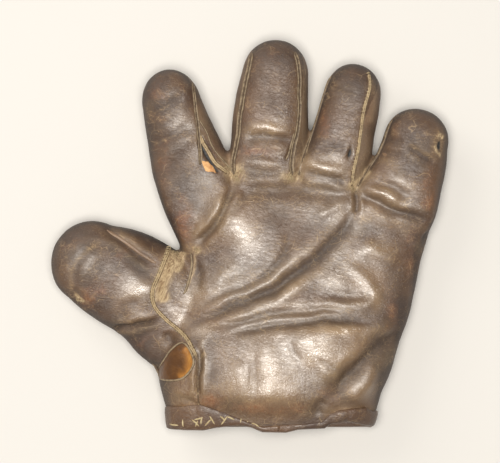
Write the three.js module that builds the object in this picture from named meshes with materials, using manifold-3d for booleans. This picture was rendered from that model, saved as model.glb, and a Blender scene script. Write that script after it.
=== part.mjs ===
// An old full-fingered baseball glove without a web, for the left hand.
// It lies on its back with the palm up: +Z is up, +Y runs to the fingertips, the thumb is on the -X side.
// The origin is on the flat rest area on the back of the hand. All lengths are millimetres.
// The glove is one hollow volume, made of a palm loft and five digit tubes, taken at several depths.
// The space between two depths is a layer: outer leather, felt padding, or lining leather.

import * as THREE from 'three';
import { mergeVertices } from 'three/addons/utils/BufferGeometryUtils.js';
import Module from 'manifold-3d';

const wasm = await Module();
wasm.setup();

// Sheet thicknesses and clearances
const LEATHER = 1.8;
const LINING = 1.2;
const BINDING = 1;
const WELT = 1;
const WELT_PROUD = 1;
const GAP = 0.3;
const OVERRUN = 60;
const SMOOTHING = 0.05;

// Padding
const FINGER_PAD = 3;
const THUMB_PAD = 4;
const PALM_PAD = 6;

// Palm body
const PALM_WIDTH = 160;
const PALM_LENGTH = 150;
const PALM_FRONT = 28;
const PALM_BACK = 20.5;
const SEAM_PLANE = 19;
const WRAP_SEAM_DROP = 11;
const WRIST_PLANE = -75;

// Rows of the palm loft, from the wrist to the knuckles: place along the length above the wrist plane,
// left and right edges from the origin, and the heights in front and behind the middle plane.
const palmRowShares = [
  [-0.05, -0.335, 0.37, 0.62, 0.585],
  [0.07, -0.347, 0.416, 0.78, 0.585],
  [0.14, -0.362, 0.433, 0.93, 0.585],
  [0.22, -0.374, 0.465, 1, 0.62],
  [0.32, -0.36, 0.491, 0.98, 0.87],
  [0.43, -0.322, 0.526, 0.87, 1],
  [0.55, -0.29, 0.553, 0.76, 1],
  [0.67, -0.293, 0.577, 0.69, 1],
  [0.77, -0.312, 0.609, 0.66, 0.98],
  [0.83, -0.343, 0.617, 0.64, 0.93],
  [0.89, -0.357, 0.57, 0.6, 0.87],
  [0.93, -0.31, 0.47, 0.53, 0.75],
  [0.965, -0.2, 0.3, 0.43, 0.58],
  [0.985, -0.12, 0.16, 0.28, 0.36],
];
const wrapSeamShares = [[0.15, 0.45], [0.45, 1]];
const PALM_ROUNDNESS = 2.7;
const PALM_SIDES = 22;
const KNUCKLE_START = 0.8;

// Padding under the palm leather, as shares of the palm pad, along the same length
const palmPadShares = [
  [0, 0.25],
  [0.06, 0.3],
  [0.15, 1.5],
  [0.3, 1.9],
  [0.42, 1.4],
  [0.55, 1.05],
  [0.8, 0.85],
  [1, 0.6],
];

// Creases worn into the palm: place across and along, and the share of the full depth there
const CREASE_DEPTH = 4.5;
const CREASE_HALF_WIDTH = 8;
const LEAST_PAD = 0.8;
const creaseShares = [
  [
    [0.344, 0.933, 0], [0.326, 0.856, 0.5], [0.301, 0.79, 0.7], [0.246, 0.728, 0.9], [0.149, 0.67, 1],
    [0.072, 0.597, 1], [-0.04, 0.531, 1], [-0.17, 0.465, 0.9], [-0.276, 0.396, 0],
  ],
  [
    [-0.261, 0.392, 0], [-0.203, 0.397, 0.6], [-0.116, 0.405, 0.8], [0.058, 0.436, 0.8], [0.228, 0.448, 0.6],
    [0.344, 0.423, 0],
  ],
  [[0.45, 0.345, 0], [0.403, 0.31, 0.7], [0.337, 0.264, 1], [0.286, 0.218, 0.9], [0.203, 0.129, 0]],
  [[-0.094, 0.949, 0], [-0.123, 0.875, 0.6], [-0.156, 0.805, 0.7], [-0.207, 0.744, 0.5], [-0.243, 0.701, 0]],
];

// Swellings of the palm: place, half sizes as shares of the palm's width, turn and share of the full height
const SWELLING_HEIGHT = 2.4;
const SWELLING_SIDES = 10;
const swellingProfileShares = [[1.5, -0.6], [0.85, 0.5], [0.35, 0.95]];
const SWELLINGS = [
  { placeShares: [-0.058, 0.747], longShare: 0.109, wideShare: 0.073, turnDegrees: 40, heightShare: 0.9 },
  { placeShares: [0, 0.26], longShare: 0.123, wideShare: 0.109, turnDegrees: 10, heightShare: 0.65 },
  { placeShares: [0.21, 0.307], longShare: 0.094, wideShare: 0.073, turnDegrees: -20, heightShare: 0.65 },
  { placeShares: [0.399, 0.686], longShare: 0.094, wideShare: 0.065, turnDegrees: 60, heightShare: 0.65 },
  { placeShares: [0.345, 0.18], longShare: 0.06, wideShare: 0.035, turnDegrees: 55, heightShare: 1 },
];

// Knuckle line: the outer edge of the index finger, the three crotches, the outer edge of the little finger
const knuckleShares = [
  [-0.37, 0.902],
  [-0.1125, 0.987],
  [0.1306, 0.985],
  [0.3406, 0.937],
  [0.623, 0.831],
];

// Digits. leftShares and rightShares give the half width along the length, as shares of the half width
// at the base, up to where the round tip starts. Seams are at shares of the half width there, on the
// front or on the back of the side that they are named for.
const INDEX_LENGTH = 68.5;
const MIDDLE_LENGTH = 77.5;
const RING_LENGTH = 69.5;
const LITTLE_LENGTH = 55;
const FINGER_HALF_THICKNESS = 17;
const THUMB_LENGTH = 60;
const THUMB_HALF_WIDTH = 30;
const THUMB_HALF_THICKNESS = 17.2;
const THUMB_HEADING_DEGREES = 148.8;
const TIP_LIFT_SHARE = 0.09;
const FIELD_MARGIN = 3;
const THUMB_FIELD_MARGIN = 16;

const FINGERS = [
  {
    name: 'index', knuckle: 0, leanDegrees: -2.1, length: INDEX_LENGTH, tipShare: 0.277, reachShare: 0.5,
    leftShares: [[-0.5, 0.8], [0, 1.02], [0.3, 1], [0.45, 0.94], [0.66, 0.84], [0.75, 0.79]],
    rightShares: [[-0.5, 0.8], [0, 0.965], [0.2, 1], [0.3, 0.99], [0.45, 0.87], [0.66, 0.76], [0.75, 0.74]],
    rightFrontShares: [[0, 0.8], [0.2, 0.68], [0.45, 0.6], [0.7, 0.82], [0.88, 0.93]],
    leftBackShares: [[0, 0.86], [0.9, 0.86]],
    rightBackShares: [[0, 0.86], [0.6, 0.86], [0.88, 0.93]],
  },
  {
    name: 'middle', knuckle: 1, leanDegrees: -5.5, length: MIDDLE_LENGTH, tipShare: 0.258, reachShare: 0.465,
    leftShares: [[-0.5, 0.8], [0, 0.97], [0.14, 1.06], [0.3, 1.1], [0.5, 1.08], [0.66, 1.01], [0.75, 0.95]],
    rightShares: [[-0.5, 0.8], [0, 0.97], [0.22, 1.16], [0.4, 1.15], [0.55, 1.08], [0.66, 1.03], [0.75, 0.97]],
    rightFrontShares: [[0, 0.86], [0.5, 0.8], [0.75, 0.84], [0.9, 0.93]],
    leftFrontShares: [[0, 0.86], [0.5, 0.8], [0.75, 0.84], [0.9, 0.93]],
    leftBackShares: [[0, 0.86], [0.6, 0.86], [0.9, 0.93]],
    rightBackShares: [[0, 0.86], [0.6, 0.86], [0.9, 0.93]],
  },
  {
    name: 'ring', knuckle: 2, leanDegrees: -3.2, length: RING_LENGTH, tipShare: 0.259, reachShare: 0.49,
    leftShares: [[-0.5, 0.8], [0, 0.97], [0.23, 0.94], [0.5, 0.94], [0.66, 0.91], [0.75, 0.9]],
    rightShares: [[-0.5, 0.8], [0, 0.965], [0.3, 1.2], [0.42, 1.16], [0.55, 1.11], [0.66, 1.06], [0.75, 1]],
    rightFrontShares: [[0, 0.78], [0.3, 0.58], [0.5, 0.54], [0.7, 0.66], [0.88, 0.9]],
    leftFrontShares: [[0, 0.93], [0.5, 0.95], [0.88, 0.96]],
    leftBackShares: [[0, 0.84], [0.6, 0.84], [0.88, 0.93]],
    rightBackShares: [[0, 0.86], [0.6, 0.86], [0.88, 0.93]],
  },
  {
    name: 'little', knuckle: 3, leanDegrees: 1.7, length: LITTLE_LENGTH, tipShare: 0.327, reachShare: 0.62,
    leftShares: [[-0.6, 0.8], [0, 0.96], [0.25, 0.8], [0.42, 0.76], [0.66, 0.75], [0.7, 0.74]],
    rightShares: [[-0.6, 0.85], [0, 1.05], [0.2, 1], [0.4, 0.95], [0.56, 0.89], [0.7, 0.79]],
    leftFrontShares: [[0, 0.94], [0.5, 0.94], [0.86, 0.96]],
    leftBackShares: [[0, 0.86], [0.6, 0.86], [0.86, 0.93]],
    rightBackShares: [[0, 0.86], [0.88, 0.86]],
  },
].map((finger) => ({
  ...finger,
  pad: FINGER_PAD,
  thickness: FINGER_HALF_THICKNESS,
  leftMargin: FIELD_MARGIN,
  rightMargin: FIELD_MARGIN,
}));
const THUMB = {
  name: 'thumb', length: THUMB_LENGTH, tipShare: 0.367, reachShare: 0.87,
  leftShares: [[-0.8, 0.95], [-0.4, 1.09], [-0.27, 1.06], [0, 0.92], [0.3, 0.9], [0.55, 0.83], [0.66, 0.78]],
  rightShares: [[-0.8, 0.7], [-0.25, 0.98], [0, 1.04], [0.3, 1], [0.42, 0.95], [0.55, 0.86], [0.66, 0.76]],
  rightFrontShares: [[0, 0.62], [0.25, 0.65], [0.5, 0.8], [0.68, 0.92], [0.88, 0.95]],
  leftBackShares: [[0, 0.86], [0.88, 0.86]],
  pad: THUMB_PAD,
  thickness: THUMB_HALF_THICKNESS,
  leftMargin: THUMB_FIELD_MARGIN,
  rightMargin: FIELD_MARGIN,
};
const thumbBaseShares = [-0.419, 0.5193];
const DIGIT_ROUNDNESS = 2.5;
const DIGIT_SIDES = 12;
const STUMP_STEPS = 2;
const STUMP_TAPER_SHARE = 0.35;
const BODY_STEPS = 4;
const TIP_STEPS = 3;
const SIDE_REACH_SHARE = 0.6;
const PAD_EDGE_DEGREES = 40;
const PATCH_SEAM_POINTS = 5;

// Outlines on the palm, as shares of the palm width and of the palm length above the wrist plane
const thumbSeamShares = [
  [-0.2975, 0.705], [-0.326, 0.647], [-0.359, 0.585], [-0.391, 0.519], [-0.384, 0.469], [-0.352, 0.423],
  [-0.304, 0.376], [-0.268, 0.334], [-0.246, 0.287], [-0.239, 0.229], [-0.234, 0.13], [-0.216, -0.05],
];
const crotchPatchShares = [[-0.345, 0.475], [-0.295, 0.545], [-0.255, 0.64], [-0.24, 0.72], [-0.29, 0.75]];
const lensShares = [
  [-0.42, 0.27], [-0.36, 0.305], [-0.325, 0.345], [-0.3, 0.36], [-0.275, 0.335], [-0.262, 0.29],
  [-0.275, 0.255], [-0.31, 0.235], [-0.37, 0.225], [-0.42, 0.222],
];
const wristEdgeShares = [
  [-0.6, 0.02], [-0.34, 0.013], [-0.22, 0.013], [-0.083, 0.032], [0, 0.005], [0.087, 0.005],
  [0.13, 0.017], [0.225, 0.021], [0.3, 0.0475], [0.39, 0.0245], [0.41, 0.044], [0.6, 0.08],
];
const hemLineShares = [
  [-0.6, 0.095], [-0.345, 0.093], [-0.221, 0.105], [-0.127, 0.075], [0, 0.04], [0.15, 0.05],
  [0.228, 0.065], [0.272, 0.087], [0.37, 0.094], [0.6, 0.12],
];
const heelPadShares = [
  [-0.215, 0.35], [0.05, 0.4], [0.3, 0.415], [0.4, 0.35], [0.31, 0.2], [0.24, 0.1], [-0.2, 0.1],
];
const sidePadShares = [
  [0.42, 0.36], [0.325, 0.19], [0.26, 0.1], [0.5, 0.1], [0.7, 0.6], [0.7, 0.85], [0.52, 0.85], [0.45, 0.5],
];
const palmPadOutlineShares = [
  [-0.22, 0.39], [0.05, 0.44], [0.3, 0.455], [0.4, 0.42], [0.43, 0.52], [0.5, 0.87], [-0.2, 0.87], [-0.22, 0.6],
];

// Slit in the back of the wrist and the strap that closes it
const SLIT_WIDTH = 9;
const SLIT_LENGTH = 42;
const SLIT_PLACE = -4;
const BINDING_WIDTH = 5;
const HEM_PARTING = 2;
const STRAP = 1.8;
const STRAP_WIDTH = 15;
const STRAP_PLACE = -55;
const STRAP_LEFT = -30;
const STRAP_RIGHT = 26;
const ANCHOR_LENGTH = 17;
const BUTTON_PLACE = 17;
const BUTTON_RADIUS = 6;
const BUTTON_HEIGHT = 2;
const STUD_RADIUS = 4.4;
const STUD_PLATE = 0.8;
const POST_RADIUS = 1.8;
const POST_CLEARANCE = 0.6;
const ROUND_STEPS = 20;

// Lacing thread along the hem on the thumb side
const THREAD_RADIUS = 0.6;
const THREAD_SIDES = 4;
const lacingSpanShares = [-0.3, -0.02];
const LACING_STITCHES = 12;
const lacingShares = [0.25, 0.85];
const capShares = [[1, 0], [1, 0.25], [0.85, 0.65], [0.5, 0.92], [0.1, 1]];

// Looks: colour, roughness and metalness
const LOOKS = {
  leather: [0x4a382b, 0.5, 0],
  side: [0x4f3c2c, 0.6, 0],
  lining: [0x9a7350, 0.8, 0],
  felt: [0xb9ab92, 0.95, 0],
  scuffed: [0x8c7350, 0.75, 0],
  amber: [0x9a5f1e, 0.45, 0],
  welt: [0x8a7048, 0.75, 0],
  thread: [0xcdbb8c, 0.8, 0],
  brass: [0x8f6a33, 0.4, 0.9],
};

// Small maths

const radians = THREE.MathUtils.degToRad;

// Straight interpolation in a table of [place, value, ...] rows
function along(table, place, column = 1) {
  let i = 1;
  while (i < table.length - 1 && table[i][0] < place) i += 1;
  const [low, high] = [table[i - 1], table[i]];
  const share = THREE.MathUtils.clamp((place - low[0]) / (high[0] - low[0]), 0, 1);
  return THREE.MathUtils.lerp(low[column], high[column], share);
}

// Distance from the middle of a rounded section to its edge, at an angle
function sectionRadius(angle, halfWidth, halfHeight, roundness) {
  const c = Math.abs(Math.cos(angle) / halfWidth) ** roundness;
  const s = Math.abs(Math.sin(angle) / halfHeight) ** roundness;
  return (c + s) ** (-1 / roundness);
}

function palmPlace([widthShare, lengthShare]) {
  return [widthShare * PALM_WIDTH, WRIST_PLANE + lengthShare * PALM_LENGTH];
}

// Layers. A layer says how deep a surface lies under the outside, at the sides and tips, in front and behind.
// Under a padded layer the padding lies in front as well.

function layer(depth, padded = false) {
  return { side: depth, back: depth, front: depth, padded };
}

const SKIN_OUT = layer(0);
const SKIN_IN = layer(LEATHER);
const PAD_OUT = layer(LEATHER + GAP);

function padIn() {
  return layer(LEATHER + GAP, true);
}

function liningOut() {
  return layer(LEATHER + 2 * GAP, true);
}

function liningIn() {
  return layer(LEATHER + 2 * GAP + LINING, true);
}

// Palm loft

function palmPadAt(y) {
  return PALM_PAD * along(palmPadShares, (y - WRIST_PLANE) / PALM_LENGTH);
}

function palmSection(lengthShare, surface) {
  const y = WRIST_PLANE + lengthShare * PALM_LENGTH;
  const frontDepth = surface.front + (surface.padded ? palmPadAt(y) : 0);
  const left = along(palmRowShares, lengthShare, 1) * PALM_WIDTH + surface.side;
  const right = along(palmRowShares, lengthShare, 2) * PALM_WIDTH - surface.side;
  return {
    y,
    middle: (left + right) / 2,
    half: (right - left) / 2,
    front: along(palmRowShares, lengthShare, 3) * PALM_FRONT - frontDepth,
    back: along(palmRowShares, lengthShare, 4) * PALM_BACK - surface.back,
  };
}

function palmPoint(section, angle) {
  const share = 2 / PALM_ROUNDNESS;
  const sine = Math.sin(angle);
  const cosine = Math.cos(angle);
  const height = cosine > 0 ? section.front : section.back;
  return new THREE.Vector3(
    section.middle + section.half * Math.sign(sine) * Math.abs(sine) ** share,
    section.y,
    SEAM_PLANE + height * Math.sign(cosine) * Math.abs(cosine) ** share,
  );
}

// Digit tubes

function digitFrame(digit) {
  if (digit.knuckle === undefined) {
    const [x, y] = palmPlace(thumbBaseShares);
    return { x, y, heading: radians(THUMB_HEADING_DEGREES), half: THUMB_HALF_WIDTH };
  }
  const [ax, ay] = palmPlace(knuckleShares[digit.knuckle]);
  const [bx, by] = palmPlace(knuckleShares[digit.knuckle + 1]);
  return {
    x: (ax + bx) / 2,
    y: (ay + by) / 2,
    heading: Math.atan2(by - ay, bx - ax) + radians(90 + digit.leanDegrees),
    half: Math.hypot(bx - ax, by - ay) / 2,
  };
}

// Section of a digit at a distance from its hinge line, before the tip rounds it off
function digitSection(digit, distance, surface) {
  const { half } = digitFrame(digit);
  const share = Math.min(distance, tipStart(digit)) / digit.length;
  const sink = 1 + Math.min(distance / stumpReach(digit), 0) * STUMP_TAPER_SHARE;
  return {
    left: along(digit.leftShares, share) * half - surface.side,
    right: along(digit.rightShares, share) * half - surface.side,
    front: digit.thickness * sink - surface.front,
    back: digit.thickness * sink - surface.back,
  };
}

function tipLength(digit) {
  return digit.length * digit.tipShare;
}

function tipStart(digit) {
  return digit.length - tipLength(digit);
}

function stumpReach(digit) {
  return digit.length * digit.reachShare;
}

// A point beside or above the middle line of a digit. The angle is 0 on the right and 90 degrees in front.
function digitPoint(digit, distance, angle, radius) {
  const { x, y, heading } = digitFrame(digit);
  const across = radius * Math.cos(angle);
  return new THREE.Vector3(
    x + distance * Math.cos(heading) + across * Math.sin(heading),
    y + distance * Math.sin(heading) - across * Math.cos(heading),
    SEAM_PLANE + digit.length * TIP_LIFT_SHARE * Math.max(distance / digit.length, 0) ** 2 + radius * Math.sin(angle),
  );
}

function sectionAngleRadius(section, angle) {
  const halfWidth = Math.cos(angle) > 0 ? section.right : section.left;
  const halfHeight = Math.sin(angle) > 0 ? section.front : section.back;
  return sectionRadius(angle, halfWidth, halfHeight, DIGIT_ROUNDNESS);
}

// Distances and scales of the rings of a digit from its hinge line to its tip
function tipwardStations(digit, surface) {
  const stations = [];
  for (let i = 0; i <= BODY_STEPS; i += 1) stations.push([(tipStart(digit) * i) / BODY_STEPS, 1]);
  for (let i = 1; i <= TIP_STEPS; i += 1) {
    const angle = (i / TIP_STEPS) * (Math.PI / 2);
    stations.push([tipStart(digit) + (tipLength(digit) - surface.side) * Math.sin(angle), Math.max(Math.cos(angle), 0)]);
  }
  return stations;
}

// Rings of a digit from its root in the palm to its tip
function digitRings(digit, surface) {
  const stations = tipwardStations(digit, surface);
  for (let i = 1; i <= STUMP_STEPS; i += 1) stations.unshift([(-stumpReach(digit) * i) / STUMP_STEPS, 1]);
  return stations.map(([distance, scale]) => {
    const section = digitSection(digit, distance, surface);
    return Array.from({ length: DIGIT_SIDES }, (_, i) => {
      const angle = (i / DIGIT_SIDES) * 2 * Math.PI;
      return digitPoint(digit, distance, angle, scale * sectionAngleRadius(section, angle));
    });
  });
}

// Angle of a seam at a share of the half width, in front (1) or behind (-1),
// on the right (1) or left (-1) side of the digit
function seamAngle(digit, shares, distance, side, face) {
  const widthShare = along(shares, distance / digit.length);
  const section = digitSection(digit, distance, SKIN_OUT);
  const across = widthShare * (side > 0 ? section.right : section.left);
  const up = (1 - widthShare ** DIGIT_ROUNDNESS) ** (1 / DIGIT_ROUNDNESS)
    * (face > 0 ? section.front : section.back);
  const angle = Math.atan2(face * up, side * across);
  return angle < -Math.PI / 2 ? angle + 2 * Math.PI : angle;
}

// Meshes

function geometryOf(positions, faces) {
  const geometry = new THREE.BufferGeometry();
  geometry.setAttribute('position', new THREE.Float32BufferAttribute(positions, 3));
  geometry.setIndex(faces);
  const merged = mergeVertices(geometry, GAP / 100);
  const index = merged.index.array;
  const kept = [];
  for (let i = 0; i < index.length; i += 3) {
    const [a, b, c] = [index[i], index[i + 1], index[i + 2]];
    if (a !== b && b !== c && c !== a) kept.push(a, b, c);
  }
  merged.setIndex(kept);
  return merged;
}

function signedVolume(geometry) {
  const p = geometry.getAttribute('position');
  const index = geometry.index.array;
  const [a, b, c] = [new THREE.Vector3(), new THREE.Vector3(), new THREE.Vector3()];
  let sum = 0;
  for (let i = 0; i < index.length; i += 3) {
    a.fromBufferAttribute(p, index[i]);
    b.fromBufferAttribute(p, index[i + 1]);
    c.fromBufferAttribute(p, index[i + 2]);
    sum += a.dot(b.cross(c)) / 6;
  }
  return sum;
}

function facingOut(geometry) {
  if (signedVolume(geometry) < 0) {
    const index = geometry.index.array;
    for (let i = 0; i < index.length; i += 3) [index[i + 1], index[i + 2]] = [index[i + 2], index[i + 1]];
  }
  return geometry;
}

// Closed body through rings of equal count, with flat or pointed ends. The faces of one wall can be
// split along the other diagonal, so that they match the wall of a neighbour.
function ringBody(rings, matchedWall = -1) {
  const count = rings[0].length;
  const positions = [];
  const faces = [];
  rings.forEach((ring) => ring.forEach((p) => positions.push(p.x, p.y, p.z)));
  for (let r = 0; r < rings.length - 1; r += 1) {
    for (let i = 0; i < count; i += 1) {
      const a = r * count + i;
      const b = r * count + ((i + 1) % count);
      if (i === matchedWall) faces.push(a, b, b + count, a, b + count, a + count);
      else faces.push(a, b, a + count, b, b + count, a + count);
    }
  }
  [0, rings.length - 1].forEach((r) => {
    const centre = new THREE.Vector3();
    rings[r].forEach((p) => centre.addScaledVector(p, 1 / count));
    const tip = positions.length / 3;
    positions.push(centre.x, centre.y, centre.z);
    for (let i = 0; i < count; i += 1) {
      const a = r * count + i;
      const b = r * count + ((i + 1) % count);
      if (r === 0) faces.push(a, tip, b);
      else faces.push(a, b, tip);
    }
  });
  return facingOut(geometryOf(positions, faces));
}

function solidOf(geometry) {
  const bare = geometry.index ? geometry.toNonIndexed() : geometry.clone();
  const plain = new THREE.BufferGeometry().setAttribute('position', bare.getAttribute('position'));
  const merged = mergeVertices(plain, GAP / 1000);
  return new wasm.Manifold(new wasm.Mesh({
    numProp: 3,
    vertProperties: new Float32Array(merged.getAttribute('position').array),
    triVerts: new Uint32Array(merged.index.array),
  }));
}

function geometryFrom(solid) {
  const mesh = solid.getMesh();
  const geometry = new THREE.BufferGeometry();
  geometry.setAttribute('position', new THREE.BufferAttribute(new Float32Array(mesh.vertProperties), 3));
  geometry.setIndex(new THREE.BufferAttribute(new Uint32Array(mesh.triVerts), 1));
  return geometry;
}

// Cutters

// Everything inside an outline grown by a margin, from far below to far above
function prism(points, margin = 0) {
  const outline = new wasm.CrossSection([points], 'NonZero');
  const grown = margin ? outline.offset(margin, 'Miter', 2) : outline;
  return grown.extrude(2 * OVERRUN + PALM_LENGTH).translate([0, 0, -OVERRUN]);
}

function block(x0, x1, y0, y1, z0, z1) {
  const geometry = new THREE.BoxGeometry(x1 - x0, y1 - y0, z1 - z0);
  geometry.translate((x0 + x1) / 2, (y0 + y1) / 2, (z0 + z1) / 2);
  return solidOf(geometry);
}

const FAR = PALM_WIDTH + PALM_LENGTH;

function above(solid, height) {
  return solid.trimByPlane([0, 0, 1], height);
}

function below(solid, height) {
  return solid.trimByPlane([0, 0, -1], -height);
}

// The front and the back leather meet at a height that falls from the wrist to the palm
function wrapSide(up, gap) {
  const rows = wrapSeamShares.map(([lengthShare, height]) => [
    WRIST_PLANE + lengthShare * PALM_LENGTH, SEAM_PLANE - height * WRAP_SEAM_DROP + (up ? gap : -gap),
  ]);
  const far = up ? FAR : -FAR;
  const outline = new wasm.CrossSection([[
    [-FAR, far], [-FAR, rows[0][1]], ...rows, [FAR, rows[rows.length - 1][1]], [FAR, far],
  ]], 'NonZero');
  return outline.extrude(2 * FAR).rotate([90, 0, 0]).rotate([0, 0, 90]).translate([-FAR, 0, 0]);
}

// Everything round a digit from a distance beyond its hinge line, wider than the digit by a margin
function digitField(digit, start) {
  const { x, y, heading, half } = digitFrame(digit);
  const corner = (distance, across) => [
    x + distance * Math.cos(heading) + across * Math.sin(heading),
    y + distance * Math.sin(heading) - across * Math.cos(heading),
  ];
  const far = digit.length + OVERRUN;
  return prism([
    corner(start, -half - digit.leftMargin), corner(start, half + digit.rightMargin),
    corner(far, half + digit.rightMargin), corner(far, -half - digit.leftMargin),
  ]);
}

// Height of the front of the palm over a place
function palmHeight(x, y) {
  const section = palmSection((y - WRIST_PLANE) / PALM_LENGTH, SKIN_OUT);
  const across = Math.min(Math.abs((x - section.middle) / section.half), 1);
  return SEAM_PLANE + section.front * (1 - across ** PALM_ROUNDNESS) ** (1 / PALM_ROUNDNESS);
}

// Wedge sections along a crease: the deepest point and the two upper corners, clear above the surface
function creaseSections(crease) {
  const places = crease.map(palmPlace);
  return crease.map(([, , depthShare], i) => {
    const [x, y] = places[i];
    const [ax, ay] = places[Math.max(i - 1, 0)];
    const [bx, by] = places[Math.min(i + 1, places.length - 1)];
    const length = Math.hypot(bx - ax, by - ay);
    const depth = Math.min(CREASE_DEPTH * depthShare, palmPadAt(y) - LEAST_PAD);
    const half = CREASE_HALF_WIDTH * (1 + depth / CREASE_DEPTH);
    const height = palmHeight(x, y);
    const corner = (side) => [
      x - side * half * (by - ay) / length, y + side * half * (bx - ax) / length, height + CREASE_DEPTH,
    ];
    return [[x, y, height - depth], corner(1), corner(-1)];
  });
}

const creaseWedges = wasm.Manifold.union(creaseShares.flatMap((crease) => {
  const sections = creaseSections(crease);
  return sections.slice(1).map((section, i) => wasm.Manifold.hull([...sections[i], ...section]));
}));

// A low dome on the palm
function swelling({ placeShares, longShare, wideShare, turnDegrees, heightShare }) {
  const [x0, y0] = palmPlace(placeShares);
  const turn = radians(turnDegrees);
  const points = swellingProfileShares.flatMap(([reachShare, riseShare]) => (
    Array.from({ length: SWELLING_SIDES }, (_, i) => {
      const angle = (i / SWELLING_SIDES) * 2 * Math.PI;
      const u = longShare * PALM_WIDTH * reachShare * Math.cos(angle);
      const v = wideShare * PALM_WIDTH * reachShare * Math.sin(angle);
      const x = x0 + u * Math.cos(turn) - v * Math.sin(turn);
      const y = y0 + u * Math.sin(turn) + v * Math.cos(turn);
      const rise = SWELLING_HEIGHT * heightShare * riseShare;
      return [x, y, palmHeight(x, y) + rise];
    })
  ));
  return wasm.Manifold.hull(points);
}

const swellings = wasm.Manifold.union(SWELLINGS.map(swelling));

// The palm with its swellings and creases. Under the padding it is smooth.
function worn(whole, surface) {
  if (surface.padded) return whole;
  const sink = [0, 0, -surface.front];
  return whole.add(swellings.translate(sink)).subtract(creaseWedges.translate(sink));
}

// Volumes of the whole hand at a layer

function palmVolume(surface) {
  const rings = palmRowShares.map(([lengthShare]) => {
    const section = palmSection(lengthShare, surface);
    section.y -= surface.side * Math.max(0, (lengthShare - KNUCKLE_START) / (1 - KNUCKLE_START));
    section.front = Math.max(section.front, LEATHER);
    section.back = Math.max(section.back, LEATHER);
    return Array.from({ length: PALM_SIDES }, (_, i) => palmPoint(section, (i / PALM_SIDES) * 2 * Math.PI));
  });
  return solidOf(ringBody(rings));
}

function digitVolume(digit, surface) {
  const front = surface.front + (surface.padded ? digit.pad : 0);
  return solidOf(ringBody(digitRings(digit, { ...surface, front })));
}

const DIGITS = [...FINGERS, THUMB];

function handVolume(surface) {
  const whole = DIGITS.reduce((hand, digit) => hand.add(digitVolume(digit, surface)), palmVolume(surface));
  return above(worn(whole, surface), surface.back);
}

// What lies beyond the hinge lines
function digitFields(start) {
  return wasm.Manifold.union(DIGITS.map((digit) => digitField(digit, start)));
}

// What lies below a line across the wrist
function wristField(shares, rise) {
  const line = shares.map(palmPlace).map(([x, y]) => [x, y + rise]);
  return prism([[-FAR, -FAR], [FAR, -FAR], [FAR, line[line.length - 1][1]], ...line.reverse(), [-FAR, line[0][1]]]);
}

function slitField(margin) {
  const radius = SLIT_WIDTH / 2 + margin;
  const top = WRIST_PLANE + SLIT_LENGTH - SLIT_WIDTH / 2;
  const points = [[SLIT_PLACE - radius, -FAR], [SLIT_PLACE + radius, -FAR]];
  for (let i = 0; i <= ROUND_STEPS / 4; i += 1) {
    const angle = (i / (ROUND_STEPS / 4)) * Math.PI;
    points.push([SLIT_PLACE + radius * Math.cos(angle), top + radius * Math.sin(angle)]);
  }
  return below(prism(points), SEAM_PLANE);
}

// The largest bodies of a solid, without slivers
function pieces(solid, count) {
  const bodies = solid.decompose();
  bodies.sort((a, b) => b.volume() - a.volume());
  return bodies.slice(0, count).map((body) => body.simplify(SMOOTHING));
}

function piece(solid) {
  return pieces(solid, 1)[0];
}

// Root pieces: everything between the wrist and the hinge lines

const skin = handVolume(SKIN_OUT).subtract(handVolume(SKIN_IN));
const padding = handVolume(PAD_OUT).subtract(handVolume(padIn()));
const lining = handVolume(liningOut()).subtract(handVolume(liningIn()));
const beyondHinges = digitFields(-GAP / 2);
const outside = beyondHinges.add(wristField(wristEdgeShares, GAP + BINDING));
const skinRoot = skin.subtract(outside);
const skinFront = skinRoot.intersect(wrapSide(true, GAP / 2));
const skinBack = skinRoot.intersect(wrapSide(false, GAP / 2));

const seamLine = thumbSeamShares.map(palmPlace);

function leftOfSeam(dx) {
  const line = seamLine.map(([x, y], i) => [x + dx, i === 0 ? y + dx : y]);
  return prism([[-FAR, line[0][1]], [-FAR, -FAR], [line[line.length - 1][0], -FAR], ...line.reverse()]);
}

const weltSlot = WELT / 2 + GAP;
const thumbSide = leftOfSeam(-weltSlot);
const palmSide = leftOfSeam(weltSlot);
const weltField = leftOfSeam(WELT / 2).subtract(leftOfSeam(-WELT / 2));
const patchPoints = [...seamLine.slice(0, PATCH_SEAM_POINTS), ...crotchPatchShares.map(palmPlace)];
const patchField = prism(patchPoints).subtract(leftOfSeam(weltSlot));
const lens = lensShares.map(palmPlace);
const thumbFront = skinFront.intersect(thumbSide);

const palmLeather = piece(skinFront.subtract(palmSide).subtract(prism(patchPoints, GAP)));
const crotchPatch = piece(skinFront.intersect(patchField));
const [heelSideLeather, thumbBaseLeather] = pieces(thumbFront.subtract(prism(lens, GAP)), 2)
  .sort((a, b) => a.boundingBox().max[1] - b.boundingBox().max[1]);
const lensGusset = piece(thumbFront.intersect(prism(lens)));
const backLeather = piece(skinBack.subtract(slitField(GAP + BINDING)));
const hemField = wristField(hemLineShares, GAP);
const proudShell = handVolume(layer(-WELT_PROUD)).subtract(handVolume(SKIN_IN));
const thumbSeamWelt = piece(
  proudShell.subtract(beyondHinges).subtract(hemField).intersect(wrapSide(true, GAP)).intersect(weltField),
);

const padRoom = above(padding.subtract(beyondHinges).subtract(hemField), SEAM_PLANE + PALM_PAD);
const padPiece = (shares) => piece(padRoom.intersect(prism(shares.map(palmPlace))));
const heelPad = padPiece(heelPadShares);
const sidePad = padPiece(sidePadShares);
const palmPad = padPiece(palmPadOutlineShares);
const thumbBasePad = piece(padRoom.intersect(leftOfSeam(-weltSlot - GAP)));

const liningRoot = lining.subtract(outside);
const palmLining = piece(liningRoot.intersect(wrapSide(true, GAP / 2)));
const backLining = piece(liningRoot.intersect(wrapSide(false, GAP / 2)).subtract(slitField(GAP + BINDING)));

// Folded strips that cover the raw edges of the skin and the lining

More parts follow.
